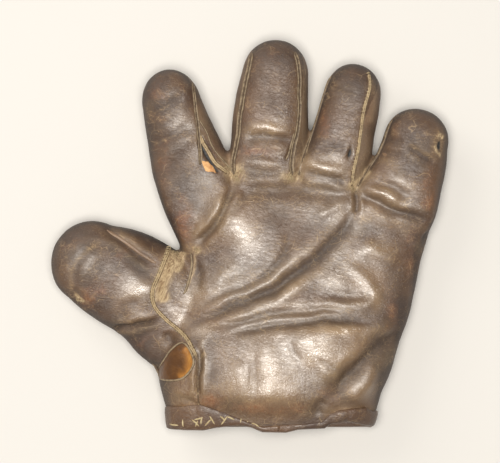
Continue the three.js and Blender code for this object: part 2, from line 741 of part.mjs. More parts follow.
function deeper(surface, depth) {
  return {
    ...surface, side: surface.side + depth, front: surface.front + depth, back: surface.back + depth,
  };
}

const foldShell = palmVolume(deeper(SKIN_OUT, -GAP - BINDING))
  .subtract(palmVolume(deeper(liningIn(), GAP + BINDING)));
const foldRoom = palmVolume(deeper(SKIN_OUT, -GAP)).subtract(palmVolume(deeper(liningIn(), GAP)));

// band is the strip as seen from the front, and edge is what lies beyond the covered edge
function foldedEdge(band, edge) {
  return foldShell.intersect(band).subtract(foldRoom.subtract(edge));
}

const wristBand = wristField(hemLineShares, 0).subtract(wristField(wristEdgeShares, 0));
const wristBinding = foldedEdge(wristBand, wristField(wristEdgeShares, BINDING)).subtract(slitField(0));
const thumbHalf = block(-FAR, HEM_PARTING - GAP / 2, -FAR, FAR, -FAR, FAR);
const littleHalf = block(HEM_PARTING + GAP / 2, FAR, -FAR, FAR, -FAR, FAR);
const wristBindingThumbSide = piece(wristBinding.intersect(thumbHalf));
const wristBindingLittleSide = piece(wristBinding.intersect(littleHalf));
const slitBand = slitField(BINDING_WIDTH).subtract(slitField(0)).subtract(hemField);
const slitBinding = piece(below(foldedEdge(slitBand, slitField(BINDING)), SEAM_PLANE - 2 * FINGER_PAD));

// Strap and its fastener, on the back of the wrist

const strapTop = GAP + BINDING + GAP;
const strapLow = STRAP_PLACE - STRAP_WIDTH / 2;
const strapHigh = STRAP_PLACE + STRAP_WIDTH / 2;

function outerShell(depth, thickness) {
  const shell = palmVolume(layer(-depth - thickness)).subtract(palmVolume(layer(-depth)));
  return below(shell, SEAM_PLANE - WELT);
}

function strapOutline() {
  const radius = STRAP_WIDTH / 2;
  const points = [[STRAP_LEFT, strapHigh], [STRAP_LEFT, strapLow]];
  for (let i = 0; i <= ROUND_STEPS / 4; i += 1) {
    const angle = (i / (ROUND_STEPS / 4) - 1 / 2) * Math.PI;
    points.push([STRAP_RIGHT - radius + radius * Math.cos(angle), STRAP_PLACE + radius * Math.sin(angle)]);
  }
  return prism(points);
}

function roundHole(radius) {
  return prism(Array.from({ length: ROUND_STEPS }, (_, i) => {
    const angle = (i / ROUND_STEPS) * 2 * Math.PI;
    return [BUTTON_PLACE + radius * Math.cos(angle), STRAP_PLACE + radius * Math.sin(angle)];
  }));
}

const strap = piece(
  outerShell(strapTop, STRAP).intersect(strapOutline()).subtract(roundHole(POST_RADIUS + POST_CLEARANCE)),
);
const strapAnchor = piece(outerShell(strapTop, STRAP).intersect(
  block(STRAP_LEFT - GAP - ANCHOR_LENGTH, STRAP_LEFT - GAP, strapLow, strapHigh, -FAR, FAR),
));

// Turned piece from a profile of [radius, depth below the back of the wrist]
const buttonBase = SEAM_PLANE - palmSection((STRAP_PLACE - WRIST_PLANE) / PALM_LENGTH, SKIN_OUT).back;

function turned(profile) {
  const rings = profile.map(([radius, depth]) => Array.from({ length: ROUND_STEPS }, (_, i) => {
    const angle = (i / ROUND_STEPS) * 2 * Math.PI;
    return new THREE.Vector3(
      BUTTON_PLACE + radius * Math.cos(angle), STRAP_PLACE + radius * Math.sin(angle), buttonBase - depth,
    );
  }));
  return ringBody(rings);
}

const studEnd = GAP + STUD_PLATE;
const capBase = strapTop + STRAP + GAP;
const postEnd = capBase + BUTTON_HEIGHT / 2;
const stud = turned([[STUD_RADIUS, GAP], [STUD_RADIUS, studEnd], [POST_RADIUS, studEnd], [POST_RADIUS, postEnd]]);
const buttonCap = turned([
  [POST_RADIUS + GAP, postEnd + GAP], [POST_RADIUS + GAP, capBase],
  ...capShares.map(([radius, height]) => [radius * BUTTON_RADIUS, capBase + height * BUTTON_HEIGHT]),
]);

// Digit pieces: everything beyond a hinge line

// A wedge about the middle line of a digit, between two seams that are given as angles along the digit.
// The slots are the distances along the skin from the seams to the wedge.
function wedge(digit, rightSeam, leftSeam, rightSlot, leftSlot) {
  const fan = Math.ceil((leftSeam(0) - rightSeam(0)) / (Math.PI / 4)) + 1;
  const distances = tipwardStations(digit, SKIN_OUT).map(([distance]) => distance);
  distances[0] = -GAP;
  distances[distances.length - 1] += OVERRUN;
  return solidOf(ringBody(distances.map((distance) => {
    const section = digitSection(digit, distance, SKIN_OUT);
    const right = rightSeam(distance);
    const left = leftSeam(distance);
    const from = right + rightSlot / sectionAngleRadius(section, right);
    const to = left - leftSlot / sectionAngleRadius(section, left);
    const ray = (k, radius) => digitPoint(digit, distance, THREE.MathUtils.lerp(from, to, k / fan), radius);
    const out = Array.from({ length: fan + 1 }, (_, k) => ray(k, OVERRUN));
    const back = Array.from({ length: fan + 1 }, (_, k) => ray(fan - k, LEATHER));
    return [...out, ...back];
  }), fan));
}

// The part of a solid between two distances along a digit
function between(digit, solid, start, end) {
  const { x, y, heading } = digitFrame(digit);
  const [dx, dy] = [Math.cos(heading), Math.sin(heading)];
  const base = x * dx + y * dy;
  return solid.trimByPlane([dx, dy, 0], base + start).trimByPlane([-dx, -dy, 0], -base - end);
}

function digitShell(digit, outer, inner, end = digit.length + OVERRUN) {
  return between(digit, digitVolume(digit, outer).subtract(digitVolume(digit, inner)), GAP / 2, end);
}

// Seams of a digit as functions of the distance along it. Where a front seam is missing,
// the front leather wraps round that side to the back.
function seams(digit) {
  const seam = (shares, side, face) => shares && ((distance) => seamAngle(digit, shares, distance, side, face));
  return {
    rightFront: seam(digit.rightFrontShares, 1, 1),
    leftFront: seam(digit.leftFrontShares, -1, 1),
    leftBack: seam(digit.leftBackShares, -1, -1),
    rightBack: seam(digit.rightBackShares, 1, -1),
  };
}

function digitPieces(digit) {
  const { rightFront, leftFront, leftBack, rightBack } = seams(digit);
  const backRight = rightBack || rightFront;
  const sideEnd = digit.length - tipLength(digit) * (1 - SIDE_REACH_SHARE);
  const skinShell = digitShell(digit, SKIN_OUT, SKIN_IN);
  const sideShell = digitShell(digit, SKIN_OUT, SKIN_IN, sideEnd);
  const weltShell = digitShell(digit, layer(-WELT_PROUD), SKIN_IN, sideEnd);
  const padShell = digitShell(digit, PAD_OUT, padIn(), sideEnd);
  const liningShell = digitShell(digit, liningOut(), liningIn());
  const padEdge = radians(PAD_EDGE_DEGREES);
  const slot = (seam) => (seam ? weltSlot : GAP / 2);
  const cut = (shell, ...seamsAndSlots) => shell.intersect(wedge(digit, ...seamsAndSlots));
  const list = [];
  const add = (part, solid, look) => list.push([`${digit.name}_${part}`, piece(solid), look]);
  add('front_leather', cut(
    skinShell, rightFront || rightBack, leftFront || leftBack, slot(rightFront), slot(leftFront),
  ), 'leather');
  add('back_leather', cut(
    skinShell, leftBack, (distance) => backRight(distance) + 2 * Math.PI, GAP / 2, slot(!rightBack),
  ), 'leather');
  if (rightFront) {
    add('right_welt', cut(weltShell, rightFront, rightFront, -WELT / 2, -WELT / 2), 'welt');
    if (rightBack) add('right_fourchette', cut(sideShell, rightBack, rightFront, GAP / 2, weltSlot), 'side');
  }
  if (leftFront) {
    add('left_welt', cut(weltShell, leftFront, leftFront, -WELT / 2, -WELT / 2), 'welt');
    add('left_fourchette', cut(sideShell, leftFront, leftBack, weltSlot, GAP / 2), 'side');
  }
  add('pad', cut(padShell, () => padEdge, () => Math.PI - padEdge, 0, 0), 'felt');
  add('lining', liningShell, 'lining');
  return list;
}

// Lacing along the hem: two crossing zigzags joined into one piece

function tube(points, radius, sides) {
  const rings = points.map((p, i) => {
    const before = points[Math.max(i - 1, 0)];
    const after = points[Math.min(i + 1, points.length - 1)];
    const ahead = new THREE.Vector3().subVectors(after, before).normalize();
    const across = new THREE.Vector3(0, 0, 1).cross(ahead).normalize();
    const up = new THREE.Vector3().crossVectors(ahead, across);
    return Array.from({ length: sides }, (_, k) => {
      const angle = (k / sides) * 2 * Math.PI;
      return p.clone()
        .addScaledVector(across, radius * Math.cos(angle))
        .addScaledVector(up, radius * Math.sin(angle));
    });
  });
  return solidOf(ringBody(rings));
}

// A point over the hem, at a share of the way from its lower to its upper edge
function hemPoint(x, share) {
  const low = along(wristEdgeShares.map(palmPlace), x);
  const high = along(hemLineShares.map(palmPlace), x);
  const y = THREE.MathUtils.lerp(low, high, share);
  const over = layer(-GAP - BINDING - GAP - THREAD_RADIUS);
  const section = palmSection((y - WRIST_PLANE) / PALM_LENGTH, over);
  const widthShare = Math.abs((x - section.middle) / section.half);
  const height = section.front * (1 - widthShare ** PALM_ROUNDNESS) ** (1 / PALM_ROUNDNESS);
  return new THREE.Vector3(x, y, SEAM_PLANE + height);
}

function zigzag(phase) {
  const points = Array.from({ length: LACING_STITCHES + 1 }, (_, i) => {
    const x = THREE.MathUtils.lerp(...lacingSpanShares, i / LACING_STITCHES) * PALM_WIDTH;
    return hemPoint(x, lacingShares[(i + phase) % 2]);
  });
  return tube(points, THREAD_RADIUS, THREAD_SIDES);
}

const hemLacing = piece(zigzag(0).add(zigzag(1)));

// Assembly

const glove = new THREE.Group();

function addMesh(name, geometry, look) {
  const [color, roughness, metalness] = LOOKS[look];
  const mesh = new THREE.Mesh(geometry, new THREE.MeshStandardMaterial({ color, roughness, metalness }));
  mesh.name = name;
  glove.add(mesh);
}

[
  ['palm_leather', palmLeather, 'leather'],
  ['back_leather', backLeather, 'leather'],
  ['thumb_base_leather', thumbBaseLeather, 'leather'],
  ['heel_side_leather', heelSideLeather, 'leather'],
  ['thumb_seam_welt', thumbSeamWelt, 'welt'],
  ['crotch_patch', crotchPatch, 'scuffed'],
  ['thumb_base_gusset', lensGusset, 'amber'],
  ['heel_pad', heelPad, 'felt'],
  ['side_pad', sidePad, 'felt'],
  ['palm_pad', palmPad, 'felt'],
  ['thumb_base_pad', thumbBasePad, 'felt'],
  ['palm_lining', palmLining, 'lining'],
  ['back_lining', backLining, 'lining'],
  ['wrist_binding_thumb_side', wristBindingThumbSide, 'leather'],
  ['wrist_binding_little_side', wristBindingLittleSide, 'leather'],
  ['slit_binding', slitBinding, 'leather'],
  ['hem_lacing', hemLacing, 'thread'],
  ['strap_anchor', strapAnchor, 'leather'],
  ['wrist_strap', strap, 'leather'],
  ...DIGITS.flatMap(digitPieces),
].forEach(([name, solid, look]) => addMesh(name, geometryFrom(solid), look));

addMesh('strap_stud', stud, 'brass');
addMesh('button_cap', buttonCap, 'brass');

export default glove;
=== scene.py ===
import math

import bpy
import numpy as np
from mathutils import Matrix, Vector
from mathutils.bvhtree import BVHTree


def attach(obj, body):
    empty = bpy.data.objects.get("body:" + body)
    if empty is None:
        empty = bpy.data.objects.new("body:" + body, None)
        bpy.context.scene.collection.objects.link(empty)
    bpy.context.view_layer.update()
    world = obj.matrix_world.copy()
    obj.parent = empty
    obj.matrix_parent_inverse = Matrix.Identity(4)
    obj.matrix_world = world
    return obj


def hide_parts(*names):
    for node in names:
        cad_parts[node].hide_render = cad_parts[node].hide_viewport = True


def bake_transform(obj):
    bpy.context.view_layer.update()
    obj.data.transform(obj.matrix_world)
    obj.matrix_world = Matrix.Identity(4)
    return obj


# An old full-fingered baseball glove, palm up, thumb on the left.
# Sizes are millimetres and become metres where a mesh is made.
# Places on the glove are pixels of the photograph, in which one pixel is 0.58 mm.

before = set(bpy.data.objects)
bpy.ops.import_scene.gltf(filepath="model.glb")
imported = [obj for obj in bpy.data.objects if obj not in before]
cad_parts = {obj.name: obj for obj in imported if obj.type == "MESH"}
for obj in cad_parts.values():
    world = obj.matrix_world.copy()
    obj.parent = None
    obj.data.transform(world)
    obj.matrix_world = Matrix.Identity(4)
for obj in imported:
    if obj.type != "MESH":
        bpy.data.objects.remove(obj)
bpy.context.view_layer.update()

METRE = 0.001
PIXEL = 0.58
PHOTO_WIDTH = 500
PHOTO_HEIGHT = 463
ORIGIN_PIXEL = (262, 300)

# Hand volume
VOXEL = 1.0
SEAM_PLANE = 19
LEATHER = 1.8
PALM_WIDTH = 160
PALM_LENGTH = 150
PALM_FRONT = 28
PALM_BACK = 20.5
WRIST_PLANE = -75
PALM_ROUNDNESS = 2.7
PALM_SECTIONS = 70
PALM_SIDES = 120
SKIN_ROUNDS = 8
SCULPT_ROUNDS = 2
FLOOR_CLEARANCE = 0.15
OPENING_DEPTH = 1.6
WRAP_SEAM_DROP = 11
# A fold has a swell on each side: its distance and width in fold widths, and its share of the depth
SWELL_PLACE = 2.1
SWELL_WIDTH = 1.1
SWELL_SHARE = 0.7
# Depth from which a fold has its full painted shade and is fully worn
FULL_DEPTH = 2
# Upward parts of a normal at which the front begins and is full, and at which the flank, darkened with
# painted shade, ends
FRONT_SLOPE = (-0.1, 0.45)
FLANK_SLOPE = (0.2, 0.9)
RIDGE_CREST = 0.6
# Share of a ridge that is polished and lightened as a painted highlight
RIDGE_POLISH_AND_HIGHLIGHT = 0.55
# Shares of its length over which a fold, a ridge or a mark fades at both ends
FOLD_ENDS = (-0.02, 0.22)
RIDGE_ENDS = (-0.02, 0.25)
MARK_ENDS = (-0.01, 0.1)

# Palm sections: share of the length, left and right edge, height in front and behind, as shares
palm_rows = np.array([
    [-0.05, -0.335, 0.37, 0.62, 0.585],
    [0.07, -0.347, 0.416, 0.78, 0.585],
    [0.14, -0.362, 0.433, 0.93, 0.585],
    [0.22, -0.374, 0.465, 1, 0.62],
    [0.32, -0.36, 0.491, 0.98, 0.87],
    [0.43, -0.322, 0.526, 0.87, 1],
    [0.55, -0.29, 0.553, 0.76, 1],
    [0.67, -0.293, 0.577, 0.69, 1],
    [0.77, -0.312, 0.609, 0.66, 0.98],
    [0.83, -0.343, 0.617, 0.64, 0.93],
    [0.89, -0.357, 0.57, 0.6, 0.87],
    [0.93, -0.31, 0.47, 0.53, 0.75],
    [0.965, -0.2, 0.3, 0.43, 0.58],
    [0.985, -0.12, 0.16, 0.28, 0.36],
])
# Corners between the bases of the fingers, as shares of the width and the length
knuckle_shares = [(-0.37, 0.902), (-0.1125, 0.987), (0.1306, 0.985), (0.3406, 0.937), (0.623, 0.831)]

# Thickness of the padding along the palm, as a share
palm_pad_shares = [
    (0, 0.25), (0.06, 0.3), (0.15, 1.5), (0.3, 1.9), (0.42, 1.4), (0.55, 1.05), (0.8, 0.85), (1, 0.6),
]
PALM_PAD = 6
FINGER_PAD = 3
LINING = 1
LINING_DEPTH = 3.4
LINING_VOXEL = 2
LINING_SETBACK = 3
LINING_ROUNDS = 6

# Unevenness of the leather: size, height and seed, and how far lines and spots wander with it
SLACK = [(22, 0.55, 11), (8, 0.16, 12), (3.6, 0.06, 13)]
WANDER = [(9, 0.9, 3), (4, 0.35, 6)]
VARIATION = (14, 0.35, 8)
WRIST_WAVES = (22, 0.6, 5)

# Steps along paths, and how far strips and seams sink into the leather
FOLD_STEP = 2.5
MARK_STEP = 1.5
SEAM_STEP = 1.2
SUNK = 0.8
RAY_START = 100

# Digits: half widths along the length as shares of the half width at the base,
# and seams as shares of the half width, on the front or the back of a side
DIGITS = {
    "index": dict(
        knuckle=0, lean=-2.1, length=68.5, tip=19, reach=34,
        left=[(-0.5, 0.8), (0, 1.02), (0.3, 1), (0.45, 0.94), (0.66, 0.84), (0.75, 0.79)],
        right=[(-0.5, 0.8), (0, 1.04), (0.1, 1.06), (0.19, 1.05), (0.3, 0.99), (0.45, 0.87), (0.66, 0.76),
               (0.75, 0.74)],
        right_front=[(0, 0.8), (0.2, 0.68), (0.45, 0.6), (0.7, 0.82), (0.88, 0.93)],
        left_back=[(0, 0.86), (0.9, 0.86)],
        right_back=[(0, 0.86), (0.6, 0.86), (0.88, 0.93)],
    ),
    "middle": dict(
        knuckle=1, lean=-5.5, length=77.5, tip=20, reach=36,
        left=[(-0.5, 0.8), (0, 1.04), (0.14, 1.11), (0.3, 1.11), (0.5, 1.08), (0.66, 1.01), (0.75, 0.95)],
        right=[(-0.5, 0.8), (0, 1.02), (0.22, 1.18), (0.4, 1.15), (0.55, 1.08), (0.66, 1.03), (0.75, 0.97)],
        right_front=[(0, 0.86), (0.5, 0.8), (0.75, 0.84), (0.9, 0.93)],
        left_front=[(0, 0.86), (0.5, 0.8), (0.75, 0.84), (0.9, 0.93)],
        left_back=[(0, 0.86), (0.6, 0.86), (0.9, 0.93)],
        right_back=[(0, 0.86), (0.6, 0.86), (0.9, 0.93)],
    ),
    "ring": dict(
        knuckle=2, lean=-3.2, length=69.5, tip=18, reach=34,
        left=[(-0.5, 0.8), (0, 1.02), (0.12, 1.02), (0.23, 0.97), (0.5, 0.94), (0.66, 0.91), (0.75, 0.9)],
        right=[(-0.5, 0.8), (0, 1.04), (0.15, 1.14), (0.3, 1.22), (0.42, 1.17), (0.55, 1.11), (0.66, 1.06),
               (0.75, 1)],
        right_front=[(0, 0.78), (0.3, 0.58), (0.5, 0.54), (0.7, 0.66), (0.88, 0.9)],
        left_front=[(0, 0.93), (0.5, 0.95), (0.88, 0.96)],
        left_back=[(0, 0.84), (0.6, 0.84), (0.88, 0.93)],
        right_back=[(0, 0.86), (0.6, 0.86), (0.88, 0.93)],
    ),
    "little": dict(
        knuckle=3, lean=1.7, length=55, tip=18, reach=34,
        left=[(-0.6, 0.8), (0, 1.02), (0.12, 0.94), (0.25, 0.86), (0.38, 0.79), (0.5, 0.76), (0.7, 0.74)],
        right=[(-0.6, 0.85), (0, 1.05), (0.2, 1), (0.4, 0.95), (0.56, 0.89), (0.7, 0.79)],
        left_front=[(0, 0.94), (0.5, 0.94), (0.86, 0.96)],
        left_back=[(0, 0.86), (0.6, 0.86), (0.86, 0.93)],
        right_back=[(0, 0.86), (0.88, 0.86)],
    ),
    "thumb": dict(
        base=(-0.419, 0.5193), heading=148.8, half=30, length=60, tip=22, reach=52,
        left=[(-0.8, 0.95), (-0.4, 1.09), (-0.27, 1.06), (0, 0.92), (0.3, 0.9), (0.55, 0.83), (0.66, 0.78)],
        right=[(-0.8, 0.7), (-0.25, 0.98), (0, 1.04), (0.3, 1), (0.42, 0.95), (0.55, 0.86), (0.66, 0.76)],
        right_front=[(0, 0.62), (0.25, 0.65), (0.5, 0.8), (0.68, 0.92), (0.88, 0.95)],
        left_back=[(0, 0.86), (0.88, 0.86)],
    ),
}
SIDES = ("right_front", "left_front", "left_back", "right_back")

# Where the skins of two neighbouring fingers part, as points on the photograph
NOTCHES = {("index", "middle"): (226, 150), ("middle", "ring"): (309, 143), ("ring", "little"): (375, 152)}
DIGIT_HALF_THICKNESS = 17
DIGIT_ROUNDNESS = 2.5
WEB_ROUNDNESS = 1.8
WEB_LENGTH = 14
DIGIT_SIDES = 96
DIGIT_SECTIONS = 50
TIP_SECTIONS = 18
TIP_SCALE = 0.01
STUMP_TAPER = 0.35
TIP_LIFT = 0.09
SIDE_REACH = 0.6
DIGIT_MARGIN = 1.25
BEND_START = 4
BEND_END = 22

# Sides of the fingers where they touch, under the skin
WALL_OVERLAP = 1
WALL_HALF_ANGLE = 48
WALL_SCALE = 0.98
WALL_THICKNESS = 1.2

# Slit, strap and button on the back of the wrist
SLIT_WIDTH = 9
SLIT_LENGTH = 42
SLIT_PLACE = -4
SLIT_OVERRUN = 20
SLIT_BAND = 4.5
SLIT_REACH = 5
STRAP_WIDTH = 15
STRAP_THICKNESS = 1.8
STRAP_PLACE = -55
STRAP_LEFT = -30
STRAP_RIGHT = 26
STRAP_CLEARANCE = 1.6
STRAP_LOW = -72
STRAP_SECTIONS = 60
STRAP_SIDES = 28
ANCHOR_LENGTH = 17
BUTTON_PLACE = 17
BUTTON_RADIUS = 6
CAP_CLEARANCE = 0.1
TURNED_SIDES = 48
GAP = 0.3

# Seams, folds and swellings, as points on the photograph
THUMB_SEAM = [
    (169, 248), (164.5, 262), (157, 280), (153.5, 289), (153, 297), (156, 307), (166, 317.5), (176, 326.5),
    (185, 334), (192.5, 344.5), (196.5, 353.5), (198, 364), (198.5, 379), (199, 398), (201, 412),
]
LENS = [
    (182.4, 340.5), (189, 345), (193, 352), (194.5, 360), (192, 368), (186, 375), (176, 378.5),
    (160, 378.5), (150, 379), (150, 371), (159.5, 367.5), (165.5, 357.5), (172, 348.5), (178.5, 343),
]
THUMB_SEAM_END = (203, 450)
FAR = 200
GUSSET_FOOT = 25
# Points of LENS between which the gusset ends at the outer edge of the glove
LENS_FOOT = 7
LENS_TOP = 10
CROTCH_STRIP = [
    (169, 248), (180, 244), (193, 246), (196, 258), (192.5, 274), (188.5, 286), (182, 298), (172, 306),
    (157, 307), (153, 297), (153.5, 289), (157, 280), (164.5, 262),
]
WRIST_EDGE = [
    (100, 425), (167, 426.5), (204, 426.5), (217, 423.5), (239, 421), (252, 423.5), (262, 428),
    (286, 428.5), (298, 425.5), (324, 424.5), (329, 420.5), (345, 417), (370, 423.5), (375, 418),
    (400, 416),
]
HEM_LINE = [
    (100, 404), (167, 405), (201, 402), (214, 406), (227, 411), (245, 418), (262, 424), (300, 421.5),
    (322, 419), (328, 412), (337, 407.5), (352, 405.5), (364, 405), (372, 410), (400, 406),
]
WRIST_EDGE_BACK = 426
WRIST_BLEND = 8
HEM_LINE_BACK = 412

# Folds: points, depth, width and height of the swelling beside it
FOLDS = [
    ([(355, 196), (348, 222), (338, 236), (327, 247), (315, 258), (302, 268), (290, 277), (278, 286),
      (266, 293), (250, 299), (232, 306), (215, 313), (200, 318), (186, 324)], 2.1, 3, 0),
    ([(287, 226), (286, 245), (281, 259), (272, 270), (260, 279), (245, 286), (225, 293), (210, 300),
      (194, 309)], 1.1, 2.2, 0.1),
    ([(356, 310), (335, 308), (318, 309), (300, 310), (280, 311), (265, 314), (250, 318), (235, 321),
      (222, 324), (206, 327)], 1, 2.2, 0),
    ([(376, 325), (345, 318.5), (320, 319.5), (300, 321), (280, 323), (262, 326), (245, 329), (226, 332)],
      1.5, 2.6, 0),
    ([(404, 328), (392, 336), (378, 344), (368, 352), (357, 362), (345, 375), (335, 386), (328, 398)], 2.9,
      3.8, 0.2),
    ([(287, 338), (293, 350), (301, 362)], 0.5, 1.6, 0.1),
    ([(317, 356), (326, 362), (337, 369)], 0.7, 1.6, 0.1),
    ([(254, 350), (254, 375), (253, 398)], 0.5, 2.2, 0.1),
    ([(236, 184), (228, 203), (219, 221), (205, 237), (195, 248)], 2.4, 2.2, 0.5),
    ([(250, 190), (240, 203), (228, 219)], 0.9, 2.4, 0.5),
    ([(355, 188), (355.5, 200), (354, 214)], 1.6, 1.4, 0.4),
    ([(354, 193), (370, 199), (390, 209), (413, 217), (434, 223)], 1.3, 2.4, 0.4),
    ([(199.5, 343), (200, 360), (200, 380), (199, 398)], 1.8, 1.5, 0.6),
    ([(149, 118), (160, 112), (172, 105), (186, 98)], 0.7, 2.6, 0.4),
    ([(154, 146), (165, 141), (178, 136), (195, 127)], 0.8, 2.8, 0.4),
    ([(159, 178), (165, 172), (172, 167), (181, 164)], 0.5, 3, 0.4),
    ([(243, 139), (256, 138), (270, 138), (283, 141), (294, 143)], 1.5, 2.6, 0.6),
    ([(237, 168), (250, 171), (268, 173), (286, 173)], 0.9, 2.8, 0.4),
    ([(300, 172), (314, 176), (330, 178), (350, 184)], 1.4, 2.4, 0.5),
    ([(316, 151), (330, 147), (346, 148)], 0.6, 2.4, 0.5),
    ([(328, 87), (340, 93), (356, 99)], 0.7, 1.5, 0.3),
    ([(407, 144), (414, 153), (424, 160), (434, 165)], 1, 2, 0.4),
    ([(366, 186), (380, 184), (396, 190), (410, 200)], 0.8, 2.6, 0.4),
    ([(385, 139), (392, 142), (400, 141)], 0.8, 2, 0.4),
    ([(380, 152), (390, 156), (402, 156)], 0.7, 2.2, 0.4),
    ([(103, 240), (90, 250), (80, 265), (73, 283)], 0.7, 2.6, 0.4),
    ([(108, 328), (130, 325.8), (145, 322.6), (162, 317)], 1.8, 1.6, 0.5),
    ([(120, 318), (128, 305), (140, 303)], 0.6, 2.4, 0.4),
    ([(104, 229), (125, 243), (142, 256), (158, 264)], 1.3, 2, 0.6),
    ([(72, 288), (82, 300), (96, 309)], 0.7, 2, 0.4), ([(165, 330), (172, 341), (176, 345)], 1.2, 2.4, 0.5),
    ([(171, 398), (185, 397), (200, 403)], 0.8, 2, 0.3),
    ([(322, 395), (316, 405), (318, 414)], 1.2, 2.6, 0.3),
    ([(424, 232), (430, 241), (436, 250)], 1.4, 3.4, 0.3),
    ([(240, 192), (275, 190), (310, 191), (345, 196)], 0.9, 5, 0.2),
    ([(193, 262), (200, 276), (197, 292)], 0.8, 2.2, 0.5),
]

# Ridges: points, height and width
RIDGES = [
    ([(322, 236), (305, 250), (290, 262), (275, 275), (262, 284), (245, 292), (225, 299), (205, 307),
      (188, 317)], 0.7, 4),
    ([(320, 271), (300, 284), (283, 294), (262, 305), (245, 311), (230, 316), (212, 321.5)], 0.9, 4.6),
    ([(356, 314), (320, 314.5), (300, 316), (280, 318), (262, 321), (245, 324), (222, 328)], 0.25, 1.7),
    ([(336, 259), (355, 270), (368, 283), (373, 294), (366, 302), (348, 304.5), (330, 303.5), (310, 304)],
      0.9, 3.4),
    ([(355, 246), (376, 254), (398, 263)], 0.9, 4), ([(312, 220), (330, 209), (350, 198)], 0.9, 3.4),
    ([(211, 287), (223, 271), (243, 264)], 0.7, 3.6), ([(182, 313), (190, 298), (196, 282)], 0.8, 3.6),
    ([(362, 187), (380, 193), (400, 203)], 0.8, 3.8), ([(268, 330), (269, 360), (267, 402)], 0.7, 6.5),
    ([(240, 354), (241, 380), (243, 402)], 0.7, 6.5),
    ([(294, 332), (311, 349), (323, 363), (324, 382)], 0.8, 6.5),
    ([(342, 322), (348, 332), (352, 344)], 0.4, 3.6),
    ([(379, 363), (366, 378), (357, 390), (352, 403)], 1.5, 4.8),
    ([(209, 332), (202, 341), (200, 352), (200, 368)], 0.5, 2),
]

# Swellings and hollows: centre, half length, half width, turn and height
SWELLINGS = [
    ((238, 226), 30, 20, -56, 2.2), ((268, 396), 46, 12, 0, 1.8), ((325, 331), 44, 9, 3, 1.7),
    ((340, 346), 30, 20, -30, 1.4), ((290, 292), 17, 8, 32, 0.9), ((205, 331), 15, 8, 0, 0.9),
    ((176, 311), 11, 8, -45, 0.8), ((204, 289), 10, 14, 0, 0.8), ((200, 226), 8, 16, -15, 0.8),
    ((217, 212), 24, 12, 62, 1.3), ((262, 362), 34, 30, 10, 1.2), ((320, 350), 26, 20, -20, 1.2),
    ((290, 384), 24, 14, 0, 0.8), ((372, 254), 22, 12, -15, 0.9), ((336, 282), 16, 12, -20, 1),
    ((342, 295), 16, 5, -8, -0.9), ((285, 222), 28, 11, -40, -0.9), ((372, 235), 18, 7, 0, -0.6),
    ((207, 258), 14, 12, 0, -0.7), ((365, 386), 20, 9, 55, 1.2), ((144, 288), 17, 12, 10, 1.7),
    ((140, 264), 24, 8, -38, -1.3), ((90, 262), 18, 12, 60, 0.8), ((272, 132), 20, 9, -15, 1.1),
    ((262, 163), 16, 5, 0, 0.9), ((324, 170), 20, 9, -12, 1.5), ((372, 192), 14, 7, -20, 1.1),
    ((395, 180), 18, 10, -30, 1), ((182, 137), 15, 8, 20, 1.2), ((175, 152), 16, 6, 25, 1),
    ((190, 218), 18, 9, 65, 1.2), ((215, 200), 14, 8, 65, 0.8), ((140, 345), 16, 9, -40, 1.2),
    ((182, 395), 12, 10, 90, 1),
]


# Seams seen from the front: path, cross-section, half width, height, share stitched, digit and CAD node
FRONT_SEAMS = {
    "thumb_seam": (THUMB_SEAM, "rope", 1.25, 1.2, 0.68, None, "thumb_seam_welt"),
    "index_seam": ([(192, 79), (194.5, 96), (196, 110), (198, 124), (199, 134), (200.2, 146), (201, 157),
                    (200.5, 166)], "lips", 1.2, 0.7, 0, "index", "index_right_welt"),
    "index_torn_edge": ([(200.7, 136), (206.4, 148), (213.6, 160.7), (220, 168), (227, 174)],
                        "rope", 1.25, 1.1, 0, "index", None),
    "index_outer_edge": ([(199.3, 121), (206.4, 132), (211.4, 145), (215.7, 152), (223.6, 161), (231, 170)],
                         "single", 0.6, 0.5, 0, "index", None),
    "middle_left_seam": (
        [(252, 55), (247.5, 76), (244, 95), (241.5, 109), (239.5, 124), (238, 138), (235.5, 152), (233, 165),
         (234, 175)], "lips", 1.9, 0.8, 0, "middle", "middle_left_welt"),
    "middle_right_seam": (
        [(294, 54), (297.5, 66), (298.8, 81), (298.6, 95), (298.2, 116), (296.4, 135), (292.5, 152),
         (290.5, 166), (291.5, 176)], "lips", 1.5, 0.8, 0, "middle", "middle_right_welt"),
    "middle_split_edge": ([(293.6, 134), (291.5, 142), (288.5, 152), (285, 161)],
                          "single", 0.7, 0.7, 0, "middle", None),
    "ring_seam": ([(367, 75), (368.5, 85), (366, 98), (362.5, 110), (360, 130), (356.5, 152), (352, 173),
                   (351, 187)], "rope", 1.05, 0.9, 1, "ring", "ring_right_welt"),
    "thumb_front_seam": ([(108, 230), (125, 241), (142, 254), (157, 263)],
                         "fold", 0.9, 0.4, 0, "thumb", "thumb_right_welt"),
    "gusset_edge": (LENS[LENS_TOP:] + LENS[:LENS_FOOT + 1], "single", 0.7, 0.5, 0, None, None),
    "strip_edge": ([(191, 252), (192.5, 262), (190.5, 274), (187.5, 285), (184, 294)],
                   "single", 0.8, 0.6, 0, None, None),
}
# Seams between the back and the sides of a digit, as last distances along it
BACK_SEAMS = {
    ("index", "left"): 60, ("index", "right"): 58, ("middle", "left"): 68, ("middle", "right"): 68,
    ("ring", "left"): 60, ("ring", "right"): 60, ("little", "left"): 45, ("little", "right"): 47,
    ("thumb", "left"): 50,
}
